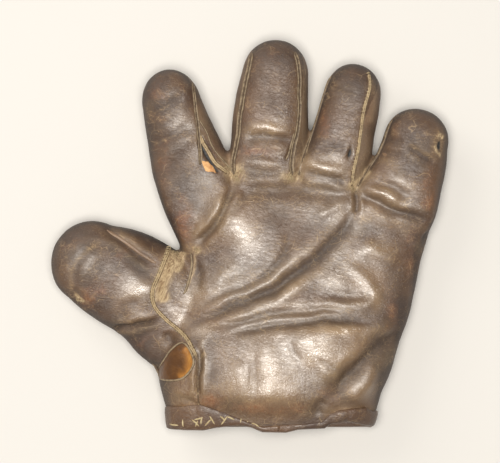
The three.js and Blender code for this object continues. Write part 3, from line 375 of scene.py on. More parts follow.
# Seams between the front and the left side of a digit, which the CAD part has as well
LEFT_SEAMS = {"ring": 60, "little": 45}
LEFT_SEAM_START = -3
BACK_SEAM_START = 2
LACING = [
    [(183.5, 417.5), (183.2, 421), (184, 425)], [(192.5, 417.5), (196, 420), (199.5, 424)],
    [(203, 414.5), (201.8, 418), (201.5, 422)], [(195, 417.5), (199, 416.5), (203, 415)],
    [(196, 424.5), (197.5, 421), (198.5, 418)], [(210.2, 413.5), (212.5, 417), (215, 421.5)],
    [(211.5, 417), (209, 419.5), (205.5, 423.5)], [(227.2, 414), (225, 417.5), (221.5, 422)],
    [(220.5, 413.5), (223, 415.5), (225, 418)], [(227, 414), (230.5, 415), (234.5, 417)],
    [(241.5, 415.5), (241, 417.5), (240.5, 420)], [(248.5, 418), (247.5, 419.5), (246, 421)],
    [(251.5, 420.5), (255, 421.5), (259, 424)], [(170, 422.5), (174, 423.5), (179, 423.5)],
]
TORN_LINING = [(201, 161), (208, 163), (216.5, 173.5), (206, 172)]
FRAY_RADIUS = 0.11
# Frayed threads: centre, reach, count, digit
FRAYS = [
    ((236, 177), 4.5, 16, "index"), ((290, 177), 5, 18, "middle"), ((352, 189), 3.5, 10, "ring"),
    ((228, 168), 4, 12, "index"), ((198, 249), 3, 10, None), ((240, 172), 3, 8, "middle"),
    ((175, 252), 4, 12, None), ((80, 299), 2.5, 10, "thumb"),
]

# Worn, reddened and torn places, polished places that also carry a painted highlight, places of painted
# shade, and openings painted dark as shade: centre, half sizes, turn and strength
MASKS = ("wear", "rust", "upright", "raw", "polish_and_highlight", "shade", "grained", "rim", "opening")
SPOTS = {
    "wear": [
        ((436, 146), 7, 12, 0, 0.7), ((362, 176), 8, 7, 0, 0.9), ((303, 160), 7, 9, 0, 0.7),
        ((224, 163), 8, 7, 0, 0.7), ((235, 172), 7, 8, 0, 0.8), ((293, 182), 14, 4, 0, 0.6),
        ((150, 112), 4, 8, 0, 0.4), ((192, 248), 9, 5, 0, 0.7), ((183, 396), 14, 8, 0, 0.35),
        ((352, 190), 7, 4, 0, 0.8), ((170, 412), 10, 3, 0, 0.6), ((350, 407), 22, 2, 0, 0.7),
        ((352, 412), 24, 8, 0, 0.8), ((205, 418), 44, 5, 0, 0.8),
    ],
    "rust": [
        ((158, 100), 12, 26, 0, 0.6), ((163, 160), 12, 26, 0, 0.8), ((185, 222), 12, 24, 0, 0.9),
        ((268, 60), 24, 14, 0, 0.4), ((258, 151), 18, 7, 0, 1.1), ((322, 118), 10, 30, 15, 0.7),
        ((348, 74), 20, 8, 0, 0.4), ((392, 130), 8, 20, 0, 0.4), ((428, 190), 10, 40, 0, 0.6),
        ((90, 298), 26, 10, 40, 1), ((80, 240), 20, 10, -30, 0.5), ((135, 345), 26, 14, 40, 1),
        ((125, 252), 14, 6, 40, 0.9), ((260, 404), 60, 8, 0, 0.8), ((212, 398), 14, 8, 0, 1),
        ((330, 388), 16, 10, -30, 0.8), ((414, 255), 12, 34, 0, 0.8), ((395, 312), 14, 24, 20, 0.8),
        ((182, 410), 20, 10, 0, 0.6), ((300, 232), 24, 12, -30, 0.4), ((285, 305), 30, 6, -10, 0.4),
    ],
    "upright": [
        ((262, 392), 80, 30, 0, 1), ((188, 390), 26, 30, 0, 0.9), ((210, 200), 20, 36, 25, 0.6),
    ],
    "raw": [
        ((197, 250), 4, 3, 0, 0.8), ((292, 176), 9, 5, 0, 0.7), ((235, 174), 8, 8, 0, 0.7),
        ((353, 185), 6, 5, 0, 0.7),
    ],
    # Polished places: glossier, and lightened in colour as a painted highlight
    "polish_and_highlight": [
        ((214, 210), 13, 26, 28, 0.7), ((245, 236), 18, 24, 34, 1), ((228, 262), 12, 8, -10, 0.6),
        ((312, 167), 18, 8, -20, 1.5), ((266, 131), 20, 8, 8, 1.5), ((139, 288), 16, 13, 10, 1.5),
        ((108, 268), 26, 10, -30, 0.15), ((238, 380), 20, 26, 0, 0.9), ((270, 364), 20, 28, 0, 1),
        ((302, 350), 18, 22, 0, 0.9), ((328, 366), 12, 22, 20, 0.8), ((205, 370), 6, 26, 0, 0.6),
        ((336, 280), 26, 14, -20, 0.9), ((285, 304), 50, 8, -8, 0.7), ((372, 250), 20, 12, 20, 0.8),
        ((374, 200), 12, 12, 0, 0.7), ((360, 384), 12, 14, 20, 0.9), ((402, 185), 16, 8, -20, 0.7),
        ((190, 298), 9, 15, 0, 0.8), ((206, 182), 9, 7, 0, 0.5), ((348, 412), 20, 5, 0, 0.5),
        ((265, 167), 20, 5, 0, 0.5), ((90, 262), 18, 12, -40, 0.4), ((130, 312), 20, 12, 0, 0.35),
        ((180, 285), 6, 14, -10, 0.7), ((285, 348), 70, 44, -5, 0.8), ((340, 210), 36, 20, -20, 0.7),
        ((225, 280), 46, 18, 25, 0.7), ((362, 278), 28, 36, 30, 0.8), ((320, 346), 34, 24, -25, 1.5),
        ((268, 388), 46, 14, 0, 1.1), ((203, 330), 16, 8, 0, 1.1), ((180, 317), 14, 8, -45, 1.1),
        ((201, 226), 8, 16, -15, 0.9), ((200, 291), 10, 13, 0, 1.3), ((292, 286), 22, 8, 35, 1.5),
        ((378, 250), 15, 9, 0, 1.2), ((388, 198), 20, 11, -20, 1.2), ((333, 330), 34, 7, 0, 2),
        ((308, 358), 12, 12, 0, 1.6), ((374, 296), 8, 16, 0, 1.4), ((330, 306), 26, 4, 0, 0.9),
        ((325, 169), 28, 12, 0, 1.2), ((190, 126), 16, 12, -20, 0.6), ((362, 150), 12, 24, 0, 0.8),
        ((302, 120), 8, 40, 0, 1), ((385, 194), 18, 10, -20, 0.6), ((320, 170), 18, 7, 0, 0.6),
        ((297, 284), 20, 8, 30, 0.8), ((369, 191), 12, 7, 0, 0.8), ((200, 134), 7, 22, -10, 0.8),
        ((380, 250), 16, 9, 0, 0.5), ((340, 324), 26, 7, 0, 0.6), ((320, 372), 12, 9, 0, 0.9),
        ((200, 290), 8, 12, 0, 0.5),
    ],
    "shade": [
        ((100, 268), 60, 44, 30, 0.34), ((158, 130), 14, 56, 0, 0.4), ((176, 180), 18, 40, 0, 0.35),
        ((350, 86), 32, 28, 0, 0.5), ((272, 62), 32, 24, 0, 0.45), ((416, 135), 34, 40, 0, 0.42),
        ((302, 234), 26, 20, 0, 0.45), ((212, 372), 9, 16, 0, 0.5), ((356, 374), 9, 16, -40, 0.6),
        ((245, 272), 26, 8, 20, 0.35), ((262, 208), 14, 10, 0, 0.35), ((176, 110), 14, 10, 0, 0.4),
        ((262, 148), 20, 6, 0, 0.4), ((360, 226), 16, 8, 0, 0.4), ((196, 194), 12, 12, 0, 0.35),
        ((118, 250), 22, 9, -30, 0.8), ((138, 264), 26, 9, -38, 1), ((270, 103), 14, 12, 0, 0.5),
        ((176, 172), 22, 22, 0, 0.6), ((204, 188), 12, 16, 0, 0.5), ((340, 76), 14, 12, 0, 0.8),
        ((330, 100), 10, 20, 0, 0.4), ((338, 392), 18, 8, -40, 0.8), ((280, 218), 24, 14, 0, 0.4),
        ((408, 124), 24, 12, 0, 0.4), ((130, 342), 36, 10, 40, 1.3), ((156, 376), 8, 22, 0, 1.3),
        ((385, 388), 9, 28, 14, 1.2), ((419, 266), 9, 46, 8, 1.2), ((405, 332), 9, 42, 14, 1.2),
        ((270, 52), 30, 12, 0, 0.4), ((112, 326), 22, 9, 35, 0.8), ((140, 352), 24, 9, 50, 1),
        ((162, 380), 9, 22, 0, 1), ((392, 372), 8, 30, 14, 1), ((421, 262), 7, 40, 8, 0.8),
        ((345, 88), 16, 12, 0, 0.7), ((88, 244), 24, 10, -20, 0.7), ((198, 202), 10, 14, 0, 0.5),
        ((280, 424), 40, 6, 0, 0.8), ((90, 235), 30, 10, -20, 0.5), ((172, 240), 6, 12, 0, 0.8),
    ],
    "grained": [
        ((285, 310), 105, 105, 0, 1.1), ((300, 178), 90, 18, 5, 1), ((268, 150), 26, 16, 0, 0.7),
        ((190, 170), 22, 50, 10, 0.45), ((138, 288), 22, 14, 0, 0.5), ((180, 300), 16, 24, 0, 1),
        ((180, 395), 22, 26, 0, 0.8), ((345, 140), 20, 26, 0, 0.5), ((405, 170), 26, 26, 0, 0.7),
    ],
    # Openings: painted near black as the shade inside the glove
    "opening": [
        ((349, 155), 2, 5, -12, 1), ((438, 147), 2.2, 6, 0, 0.9),
    ],
}
# Worn, torn, amber and opening lines: path, half width and strength. The opening lines are painted dark as
# shade
LINES = {
    "wear": [
        ([(235, 184), (228, 203), (219, 221), (205, 237), (195, 248)], 2, 0.35),
        ([(233, 177), (262, 180), (290, 179), (320, 185), (352, 190)], 2.6, 0.35),
        ([(104, 239), (89, 252), (77, 265), (72, 280), (72, 294)], 2.2, 0.6),
        ([(74, 291), (80, 297), (88, 304)], 1.4, 0.8), ([(98, 292), (93, 297), (87, 305)], 1, 0.7),
        ([(120, 233), (131, 242), (142, 252)], 2.6, 0.5), ([(328, 87), (340, 93), (356, 99)], 0.8, 0.5),
        ([(149, 118), (160, 112), (172, 105)], 0.9, 0.5), ([(154, 146), (165, 141), (178, 136)], 0.9, 0.5),
        ([(371, 80), (372, 100), (370, 125)], 3, 0.35), ([(405, 143), (418, 151), (434, 163)], 2.2, 0.6),
        ([(380, 158), (392, 167), (402, 178)], 5, 0.4), ([(357, 215), (385, 222), (410, 232)], 6, 0.35),
        ([(242, 200), (262, 190), (300, 188), (340, 193)], 6, 0.25),
    ],
    "raw": [
        ([(174, 250), (170, 262), (166, 276), (162, 289), (164, 303)], 6, 1.2),
        ([(182, 251), (180, 262), (175, 272)], 3.5, 0.9),
        ([(194, 252), (194, 268), (190, 282), (185, 294)], 1.2, 0.5),
        ([(352, 185), (360, 178), (368, 169)], 3, 0.8), ([(76, 294), (81, 299), (86, 302)], 1.6, 0.7),
        ([(434, 138), (438, 136), (441, 140)], 1.5, 0.8), ([(434, 146), (435, 154), (439, 157)], 1.6, 0.8),
    ],
    "rim": [
        ([(184, 346), (191, 353), (192, 363), (188, 371), (178, 376)], 5, 1),
    ],
    "opening": [
        ([(199.8, 136), (204, 150), (208.5, 160), (214.5, 169.5), (221, 175)], 1.6, 1),
        ([(112, 328), (130, 325.8), (145, 322.6), (158, 318.5)], 1.1, 0.5),
        ([(291.5, 141), (288.8, 152), (286.5, 160)], 1, 0.8),
    ],
}


def place(points):
    """Millimetres on the glove for pixels of the photograph."""
    points = np.asarray(points, float)
    return np.stack([points[..., 0] - ORIGIN_PIXEL[0], ORIGIN_PIXEL[1] - points[..., 1]], -1) * PIXEL


# Small maths

def ramp(values, low, high):
    """Rises smoothly from 0 at low to 1 at high."""
    share = np.clip((values - low) / (high - low), 0, 1)
    return share * share * (3 - 2 * share)


def hump(values, width):
    return np.exp(-(values / width) ** 2)


def smooth_along(rows, places, column=1):
    """Smooth curve through the rows of a table."""
    rows = np.asarray(rows, float)
    xs = rows[:, 0]
    ys = rows[:, column]
    slopes = np.gradient(ys, xs)
    i = np.clip(np.searchsorted(xs, places) - 1, 0, len(xs) - 2)
    step = xs[i + 1] - xs[i]
    t = np.clip((places - xs[i]) / step, 0, 1)
    return ((2 * t**3 - 3 * t**2 + 1) * ys[i] + (t**3 - 2 * t**2 + t) * step * slopes[i]
            + (3 * t**2 - 2 * t**3) * ys[i + 1] + (t**3 - t**2) * step * slopes[i + 1])


def straight_along(rows, places):
    rows = np.asarray(rows, float)
    return np.interp(places, rows[:, 0], rows[:, 1])


def smooth_path(points, step):
    """Points at an even step along a smooth curve through the given points."""
    points = np.asarray(points, float)
    lengths = np.r_[0, np.cumsum(np.linalg.norm(np.diff(points, axis=0), axis=1))]
    fine = np.linspace(0, lengths[-1], 40 * len(points))
    curve = np.stack([smooth_along(np.c_[lengths, points[:, k]], fine) for k in range(points.shape[1])], 1)
    run = np.r_[0, np.cumsum(np.linalg.norm(np.diff(curve, axis=0), axis=1))]
    even = np.linspace(0, run[-1], max(int(run[-1] / step), 2) + 1)
    return np.stack([np.interp(even, run, curve[:, k]) for k in range(points.shape[1])], 1)


def hashed(cells, seed):
    """A fixed pseudo-random number from 0 to 1 for each cell of a grid."""
    cells = cells.astype(np.int64).astype(np.uint64)
    mixed = (cells[..., 0] * np.uint64(73856093)) ^ (cells[..., 1] * np.uint64(19349663))
    mixed = mixed ^ (cells[..., 2] * np.uint64(83492791)) ^ np.uint64(seed * 2654435761 + 97)
    mixed = (mixed ^ (mixed >> np.uint64(13))) * np.uint64(1274126177)
    mixed = mixed & np.uint64(0xFFFFFFFF)
    mixed = mixed ^ (mixed >> np.uint64(16))
    return (mixed & np.uint64(0xFFFF)).astype(float) / 0xFFFF


def noise(points, size, seed):
    """Smooth noise from -1 to 1 with swellings of about the given size."""
    scaled = np.asarray(points, float) / size + 1000
    if scaled.shape[-1] == 2:
        scaled = np.concatenate([scaled, np.full(scaled.shape[:-1] + (1,), 1000.5)], -1)
    low = np.floor(scaled)
    t = scaled - low
    t = t * t * (3 - 2 * t)
    total = 0
    for i in (0, 1):
        for j in (0, 1):
            for k in (0, 1):
                weight = (np.abs(1 - i - t[..., 0]) * np.abs(1 - j - t[..., 1]) * np.abs(1 - k - t[..., 2]))
                total = total + weight * hashed(low + np.array([i, j, k]), seed)
    return 2 * total - 1


def chance(*cell):
    """A fixed pseudo-random number from 0 to 1 for a set of three counts."""
    return float(hashed(np.array(cell), 5))


def path_distance(points, path):
    """Distance to a path and the share of the way along it."""
    best = np.full(len(points), np.inf)
    share = np.zeros(len(points))
    run = np.r_[0, np.cumsum(np.linalg.norm(np.diff(path, axis=0), axis=1))]
    for i in range(len(path) - 1):
        d = path[i + 1] - path[i]
        length = np.linalg.norm(d)
        t = np.clip(((points - path[i]) @ d) / length**2, 0, 1)
        distance = np.linalg.norm(points - path[i] - t[:, None] * d, axis=1)
        nearer = distance < best
        best[nearer] = distance[nearer]
        share[nearer] = (run[i] + t[nearer] * length) / run[-1]
    return best, share


def inside(points, outline):
    """Whether points lie inside an outline."""
    x, y = points[:, 0], points[:, 1]
    result = np.zeros(len(points), bool)
    for (ax, ay), (bx, by) in zip(outline, np.roll(outline, -1, axis=0)):
        crosses = (ay > y) != (by > y)
        reach = ax + (y - ay) * (bx - ax) / (by - ay + 1e-12)
        result ^= crosses & (x < reach)
    return result


# Hand volume: a palm loft and five digit tubes

def palm_section(length_share, depth):
    """Section of the palm at a depth under the outside, where the padding lies in front as well."""
    left = smooth_along(palm_rows, length_share, 1) * PALM_WIDTH + depth
    right = smooth_along(palm_rows, length_share, 2) * PALM_WIDTH - depth
    padding = PALM_PAD * straight_along(palm_pad_shares, length_share) if depth else 0
    return dict(
        y=WRIST_PLANE + length_share * PALM_LENGTH,
        middle=(left + right) / 2,
        half=(right - left) / 2,
        front=max(smooth_along(palm_rows, length_share, 3) * PALM_FRONT - depth - padding, LEATHER),
        back=max(smooth_along(palm_rows, length_share, 4) * PALM_BACK - depth, LEATHER),
    )


def palm_ring(length_share, angles, depth=0):
    section = palm_section(length_share, depth)
    power = 2 / PALM_ROUNDNESS
    sine, cosine = np.sin(angles), np.cos(angles)
    height = np.where(cosine > 0, section["front"], section["back"])
    return np.stack([
        section["middle"] + section["half"] * np.sign(sine) * np.abs(sine) ** power,
        np.full(len(angles), section["y"]),
        SEAM_PLANE + height * np.sign(cosine) * np.abs(cosine) ** power,
    ], 1)


def full_turn(count):
    return np.arange(count) * 2 * math.pi / count


def palm_rings(depth=0):
    shares = np.linspace(palm_rows[0, 0], palm_rows[-1, 0] - depth / PALM_LENGTH, PALM_SECTIONS)
    return [palm_ring(share, full_turn(PALM_SIDES), depth) for share in shares]


def digit_frame(digit):
    """Base point, heading and half width of a digit."""
    if "base" in digit:
        x, y = digit["base"]
        return x * PALM_WIDTH, WRIST_PLANE + y * PALM_LENGTH, math.radians(digit["heading"]), digit["half"]
    corners = [(x * PALM_WIDTH, WRIST_PLANE + y * PALM_LENGTH) for x, y in knuckle_shares]
    (ax, ay), (bx, by) = corners[digit["knuckle"]], corners[digit["knuckle"] + 1]
    heading = math.atan2(by - ay, bx - ax) + math.radians(90 + digit["lean"])
    return (ax + bx) / 2, (ay + by) / 2, heading, math.hypot(bx - ax, by - ay) / 2


def digit_local(digit, points):
    """Distance along a digit, distance to its right, and height over its middle line."""
    x, y, heading, _ = digit_frame(digit)
    dx, dy = points[..., 0] - x, points[..., 1] - y
    distance = dx * math.cos(heading) + dy * math.sin(heading)
    across = dx * math.sin(heading) - dy * math.cos(heading)
    lift = digit["length"] * TIP_LIFT * np.maximum(distance / digit["length"], 0) ** 2
    return distance, across, points[..., 2] - SEAM_PLANE - lift if points.shape[-1] == 3 else None


def digit_place(digit, distance, across, height):
    x, y, heading, _ = digit_frame(digit)
    lift = digit["length"] * TIP_LIFT * np.maximum(distance / digit["length"], 0) ** 2
    return np.stack([
        x + distance * math.cos(heading) + across * math.sin(heading),
        y + distance * math.sin(heading) - across * math.cos(heading),
        SEAM_PLANE + lift + height,
    ], -1)


def digit_halves(digit, distance):
    """Half widths on the left and on the right, and half thickness, before the tip rounds them off."""
    half = digit_frame(digit)[3]
    share = np.minimum(distance, digit["length"] - digit["tip"]) / digit["length"]
    sink = 1 + np.minimum(distance / digit["reach"], 0) * STUMP_TAPER
    return (smooth_along(digit["left"], share) * half, smooth_along(digit["right"], share) * half,
            DIGIT_HALF_THICKNESS * sink)


def oval_radius(angles, wide, thick, power):
    """Distance from the middle line to a rounded oval, at angles about it."""
    across = (np.abs(np.cos(angles)) / wide) ** power
    up = (np.abs(np.sin(angles)) / thick) ** power
    return (across + up) ** (-1 / power)


def digit_ring(digit, distance, scale, depth=0):
    left, right, thick = digit_halves(digit, distance)
    angles = full_turn(DIGIT_SIDES)
    wide = np.where(np.cos(angles) > 0, right, left) - depth
    padding = FINGER_PAD if depth else 0
    thick = thick - depth - np.where(np.sin(angles) > 0, padding, 0)
    power = DIGIT_ROUNDNESS
    if "knuckle" in digit:
        power = power + WEB_ROUNDNESS * hump(max(distance, 0), WEB_LENGTH)
    radius = oval_radius(angles, wide, thick, power)
    return digit_place(digit, distance, scale * radius * np.cos(angles), scale * radius * np.sin(angles))


def digit_rings(digit, depth=0):
    tip_start = digit["length"] - digit["tip"]
    tip = digit["tip"] - depth
    rings = [digit_ring(digit, d, 1, depth) for d in np.linspace(-digit["reach"], tip_start, DIGIT_SECTIONS)]
    for angle in np.linspace(0, math.pi / 2, TIP_SECTIONS)[1:]:
        scale = max(math.cos(angle), TIP_SCALE)
        rings.append(digit_ring(digit, tip_start + tip * math.sin(angle), scale, depth))
    return rings


def seam_angle(digit, key, distance):
    """Angle of a seam about the middle line: 0 on the right, 90 degrees in front."""
    side = 1 if "right" in key else -1
    face = 1 if "front" in key else -1
    left, right, thick = digit_halves(digit, distance)
    share = straight_along(digit[key], distance / digit["length"])
    across = share * (right if side > 0 else left)
    up = (1 - share**DIGIT_ROUNDNESS) ** (1 / DIGIT_ROUNDNESS) * thick
    return turned_on(np.arctan2(face * up, side * across))


def turned_on(angle):
    """Angles counted on from the lowest point of the digit."""
    return np.where(angle < -math.pi / 2, angle + 2 * math.pi, angle)


# Meshes

def mesh_object(name, points, faces):
    """A new object from points in millimetres. Faces all have the same number of corners."""
    points = np.asarray(points, float)
    faces = np.asarray(faces, np.int32)
    mesh = bpy.data.meshes.new(name)
    mesh.vertices.add(len(points))
    mesh.vertices.foreach_set("co", (points * METRE).astype(np.float32).ravel())
    corners = faces.shape[1]
    mesh.loops.add(faces.size)
    mesh.loops.foreach_set("vertex_index", faces.ravel())
    mesh.polygons.add(len(faces))
    mesh.polygons.foreach_set("loop_start", np.arange(0, faces.size, corners, dtype=np.int32))
    mesh.polygons.foreach_set("use_smooth", np.ones(len(faces), bool))
    mesh.update(calc_edges=True)
    piece = bpy.data.objects.new(name, mesh)
    bpy.context.scene.collection.objects.link(piece)
    return piece


def points_of(mesh):
    flat = np.zeros(3 * len(mesh.vertices), np.float32)
    mesh.vertices.foreach_get("co", flat)
    return flat.reshape(-1, 3).astype(float) / METRE


def quads_of(mesh):
    flat = np.zeros(len(mesh.loops), np.int32)
    mesh.loops.foreach_get("vertex_index", flat)
    return flat.reshape(-1, 4)


def tube_faces(ring_count, side_count, closed=True):
    """Faces between rings of points, each ring closed or open."""
    around = side_count if closed else side_count - 1
    r, s = np.meshgrid(np.arange(ring_count - 1), np.arange(around), indexing="ij")
    a = (r * side_count + s).ravel()
    b = (r * side_count + (s + 1) % side_count).ravel()
    return np.stack([a, b, b + side_count, a + side_count], 1)


def closed_tube(rings):
    """Points and faces of a tube through rings, with both ends closed by fans of four-cornered faces."""
    rings = [np.asarray(ring, float) for ring in rings]
    count = len(rings[0])
    points = np.concatenate(rings + [rings[0].mean(0)[None], rings[-1].mean(0)[None]])
    faces = [tube_faces(len(rings), count)]
    total = len(rings) * count
    for end, (first, centre) in enumerate(((0, total), ((len(rings) - 1) * count, total + 1))):
        s = np.arange(0, count, 2)
        a, b, c = first + s, first + (s + 1) % count, first + (s + 2) % count
        hub = np.full(len(s), centre)
        faces.append(np.stack([hub, c, b, a] if end == 0 else [hub, a, b, c], 1))
    return points, np.concatenate(faces)


def joined(parts):
    """One list of points and one of faces from several."""
    points, faces, start = [], [], 0
    for part_points, part_faces in parts:
        points.append(part_points)
        faces.append(part_faces + start)
        start += len(part_points)
    return np.concatenate(points), np.concatenate(faces)


def outward(points, faces):
    """Faces turned so that the closed surface has a positive volume."""
    a, b, c = (points[faces[:, k]] for k in range(3))
    volume = np.einsum("ij,ij->i", a, np.cross(b, c)).sum()
    return faces if volume > 0 else faces[:, ::-1]


def united(parts, voxel):
    """One even mesh round several overlapping closed parts."""
    parts = [(points, outward(points, faces)) for points, faces in parts]
    rough = mesh_object("rough", *joined(parts))
    remesh = rough.modifiers.new("union", "REMESH")
    remesh.mode = "VOXEL"
    remesh.voxel_size = voxel * METRE
    remesh.adaptivity = 0
    even = bpy.data.meshes.new_from_object(rough.evaluated_get(bpy.context.evaluated_depsgraph_get()))
    points, faces = points_of(even), quads_of(even)
    bpy.data.objects.remove(rough)
    bpy.data.meshes.remove(even)
    return points, faces


def edges_of(faces):
    pairs = np.concatenate([faces[:, [k, (k + 1) % 4]] for k in range(4)])
    return np.unique(np.sort(pairs, axis=1), axis=0)


def relaxed(points, edges, rounds):
    """Points moved towards the middle of their neighbours."""
    count = np.maximum(np.bincount(edges.ravel(), minlength=len(points)), 1)[:, None]
    for _ in range(rounds):
        total = np.zeros_like(points)
        for k in range(3):
            total[:, k] = (np.bincount(edges[:, 0], points[edges[:, 1], k], len(points))
                           + np.bincount(edges[:, 1], points[edges[:, 0], k], len(points)))
        points = points + 0.5 * (total / count - points)
    return points


def normals_of(points, faces):
    across = np.cross(points[faces[:, 2]] - points[faces[:, 0]], points[faces[:, 3]] - points[faces[:, 1]])
    normals = np.zeros_like(points)
    for k in range(3):
        for corner in range(faces.shape[1]):
            normals[:, k] += np.bincount(faces[:, corner], across[:, k], len(points))
    return normals / np.maximum(np.linalg.norm(normals, axis=1), 1e-9)[:, None]


# Sculpting of the leather

def spot(plan, centre, long, wide, turn):
    """Squared distance from the middle of an ellipse, as a share of its size."""
    offset = (plan - place(centre)) / PIXEL
    c, s = math.cos(math.radians(turn)), math.sin(math.radians(turn))
    u = (offset[:, 0] * c + offset[:, 1] * s) / long
    v = (offset[:, 1] * c - offset[:, 0] * s) / wide
    return u * u + v * v


def line(plan, pixels, step, ends):
    """Distance to a line, and a share that fades towards both of its ends."""
    distance, share = path_distance(plan, smooth_path(place(pixels), step))
    return distance, ramp(share, *ends) * ramp(1 - share, *ends)


def sculpted(points, faces, edges):
    """The hand volume with its swellings, folds and small unevenness, and masks for the finishes."""
    plan = points[:, :2]
    for size, reach, seed in WANDER:
        plan = plan + reach * np.stack([noise(points, size, seed), noise(points, size, seed + 1)], 1)
    size, reach, seed = VARIATION
    vary = 1 + reach * noise(points, size, seed)
    front = ramp(normals_of(points, faces)[:, 2], *FRONT_SLOPE)
    rise = np.zeros(len(points))
    for centre, long, wide, turn, height in SWELLINGS:
        rise += height * np.exp(-spot(plan, centre, long, wide, turn) * 0.9)
    hollow = np.zeros(len(points))
    crest = np.zeros(len(points))
    for path, depth, width, beside in FOLDS:
        distance, ends = line(plan, path, FOLD_STEP, FOLD_ENDS)
        valley = hump(distance, width) * ends
        swell = hump(distance - SWELL_PLACE * width, SWELL_WIDTH * width) * ends
        full = min(depth / FULL_DEPTH, 1)
        hollow = np.maximum(hollow, valley * full)
        crest = np.maximum(crest, swell * full)
        rise += depth * vary * (beside * SWELL_SHARE * swell - valley)
    ridges = np.zeros(len(points))
    for path, height, width in RIDGES:
        distance, ends = line(plan, path, FOLD_STEP, RIDGE_ENDS)
        ridge = hump(distance, width) * ends
        ridges = np.maximum(ridges, ridge)
        rise += height * vary * ridge
    normals = normals_of(points, faces)
    points = points + normals * (rise * front)[:, None]
    slack = sum(height * noise(points, size, seed) for size, height, seed in SLACK)
    points = relaxed(points + normals * slack[:, None], edges, SCULPT_ROUNDS)
    points[:, 2] = np.maximum(points[:, 2], FLOOR_CLEARANCE * (1 + noise(points, 12, 14)))
    masks = {mask: painted(plan, mask) * front for mask in MASKS}
    points = points - normals * OPENING_DEPTH * masks["opening"][:, None]
    # The hollow mask darkens folds and openings as painted shade
    masks["hollow"] = np.maximum(hollow * front, masks["opening"])
    masks["crest"] = np.maximum(crest, RIDGE_CREST * ridges) * front
    # Ridges are polished and lightened as a painted highlight
    masks["polish_and_highlight"] = np.maximum(masks["polish_and_highlight"], RIDGE_POLISH_AND_HIGHLIGHT * ridges * front * vary)
    # Painted shade: faces that turn away sideways are darkened
    masks["flank"] = 1 - ramp(np.abs(normals[:, 2]), *FLANK_SLOPE)
    return points, masks


def painted(plan, mask):
    """A mask made of soft spots and lines."""
    values = np.zeros(len(plan))
    for centre, long, wide, turn, strength in SPOTS.get(mask, []):
        values = np.maximum(values, strength * np.exp(-spot(plan, centre, long, wide, turn)))
    for pixels, width, strength in LINES.get(mask, []):
        distance, ends = line(plan, pixels, MARK_STEP, MARK_ENDS)
        values = np.maximum(values, strength * hump(distance, width * PIXEL) * ends)
    return values


def hand_labels(points, faces):
    """The name of the leather piece to which each face belongs, and the digit that it belongs to."""
    centres = points[faces].mean(1)
    _, y, z = centres.T
    labels = np.full(len(faces), "back_leather", dtype=object)
    digit_of = np.full(len(faces), "", dtype=object)
    share = (y - WRIST_PLANE) / PALM_LENGTH
    front = z > SEAM_PLANE - np.interp(share, [0.15, 0.45], [0.45, 1]) * WRAP_SEAM_DROP
    labels[front] = "palm_leather"
    seam = place(THUMB_SEAM + [THUMB_SEAM_END])
    west = np.concatenate([seam, [[-FAR, seam[-1, 1]], [-FAR, seam[0, 1]]]])
    thumb_side = inside(centres[:, :2], west) & front
    low = y < place(LENS)[:, 1].min() + VOXEL / 2
    labels[thumb_side] = "thumb_base_leather"
    labels[thumb_side & low] = "heel_side_leather"
    labels[thumb_side & inside(centres[:, :2], place(LENS)) & (z > GUSSET_FOOT)] = "thumb_base_gusset"
    labels[front & inside(centres[:, :2], place(CROTCH_STRIP)) & ~thumb_side] = "crotch_patch"
    nearest = np.full(len(faces), np.inf)
    for name, digit in DIGITS.items():
        distance, across, height = digit_local(digit, centres)
        left, right, _ = digit_halves(digit, distance)
        sideways = np.abs(across) / np.where(across > 0, right, left)
        mine = (distance > BEND_START) & (sideways < DIGIT_MARGIN) & (sideways < nearest)
        nearest[mine] = sideways[mine]
        angle = turned_on(np.arctan2(height, across))
        seam_at = {key: seam_angle(digit, key, distance) for key in SIDES if key in digit}
        low_limit = seam_at.get("right_front", seam_at.get("right_back"))
        high_limit = seam_at.get("left_front", seam_at.get("left_back"))
        in_front = (angle > low_limit) & (angle < high_limit)
        kind = np.where(in_front, "front_leather", "back_leather").astype(object)
        beside = distance < digit["length"] - digit["tip"] * (1 - SIDE_REACH)
        if "right_front" in digit and "right_back" in digit:
            kind[beside & (angle <= low_limit) & (angle > seam_at["right_back"])] = "right_fourchette"
        if "left_front" in digit:
            kind[beside & (angle >= high_limit) & (angle < seam_at["left_back"])] = "left_fourchette"
        kind = np.where(beside, kind, np.where(height > 0, "front_leather", "back_leather"))
        labels[mine] = [f"{name}_{part}" for part in kind[mine]]
        digit_of[mine] = name
    return labels, digit_of


def slit_outline():
    """Outline of the slit in the back, on the plan."""
    half = SLIT_WIDTH / 2
    top = WRIST_PLANE + SLIT_LENGTH - half
    foot = WRIST_PLANE - SLIT_OVERRUN
    angles = np.linspace(0, math.pi, 13)
    arch = np.stack([SLIT_PLACE + half * np.cos(angles), top + half * np.sin(angles)], 1)
    return np.concatenate([[[SLIT_PLACE + half, foot]], arch, [[SLIT_PLACE - half, foot]]])


def wrist_line(points):
    """Height on the plan of the wrist edge, in front or behind."""
    edge = place(WRIST_EDGE)
    front = np.interp(points[:, 0], edge[:, 0], edge[:, 1])
    size, reach, seed = WRIST_WAVES
    behind = place((0, WRIST_EDGE_BACK))[1] + reach * noise(points[:, :2], size, seed)
    return behind + (front - behind) * ramp(points[:, 2], SEAM_PLANE - WRIST_BLEND, SEAM_PLANE + 2 * VOXEL)


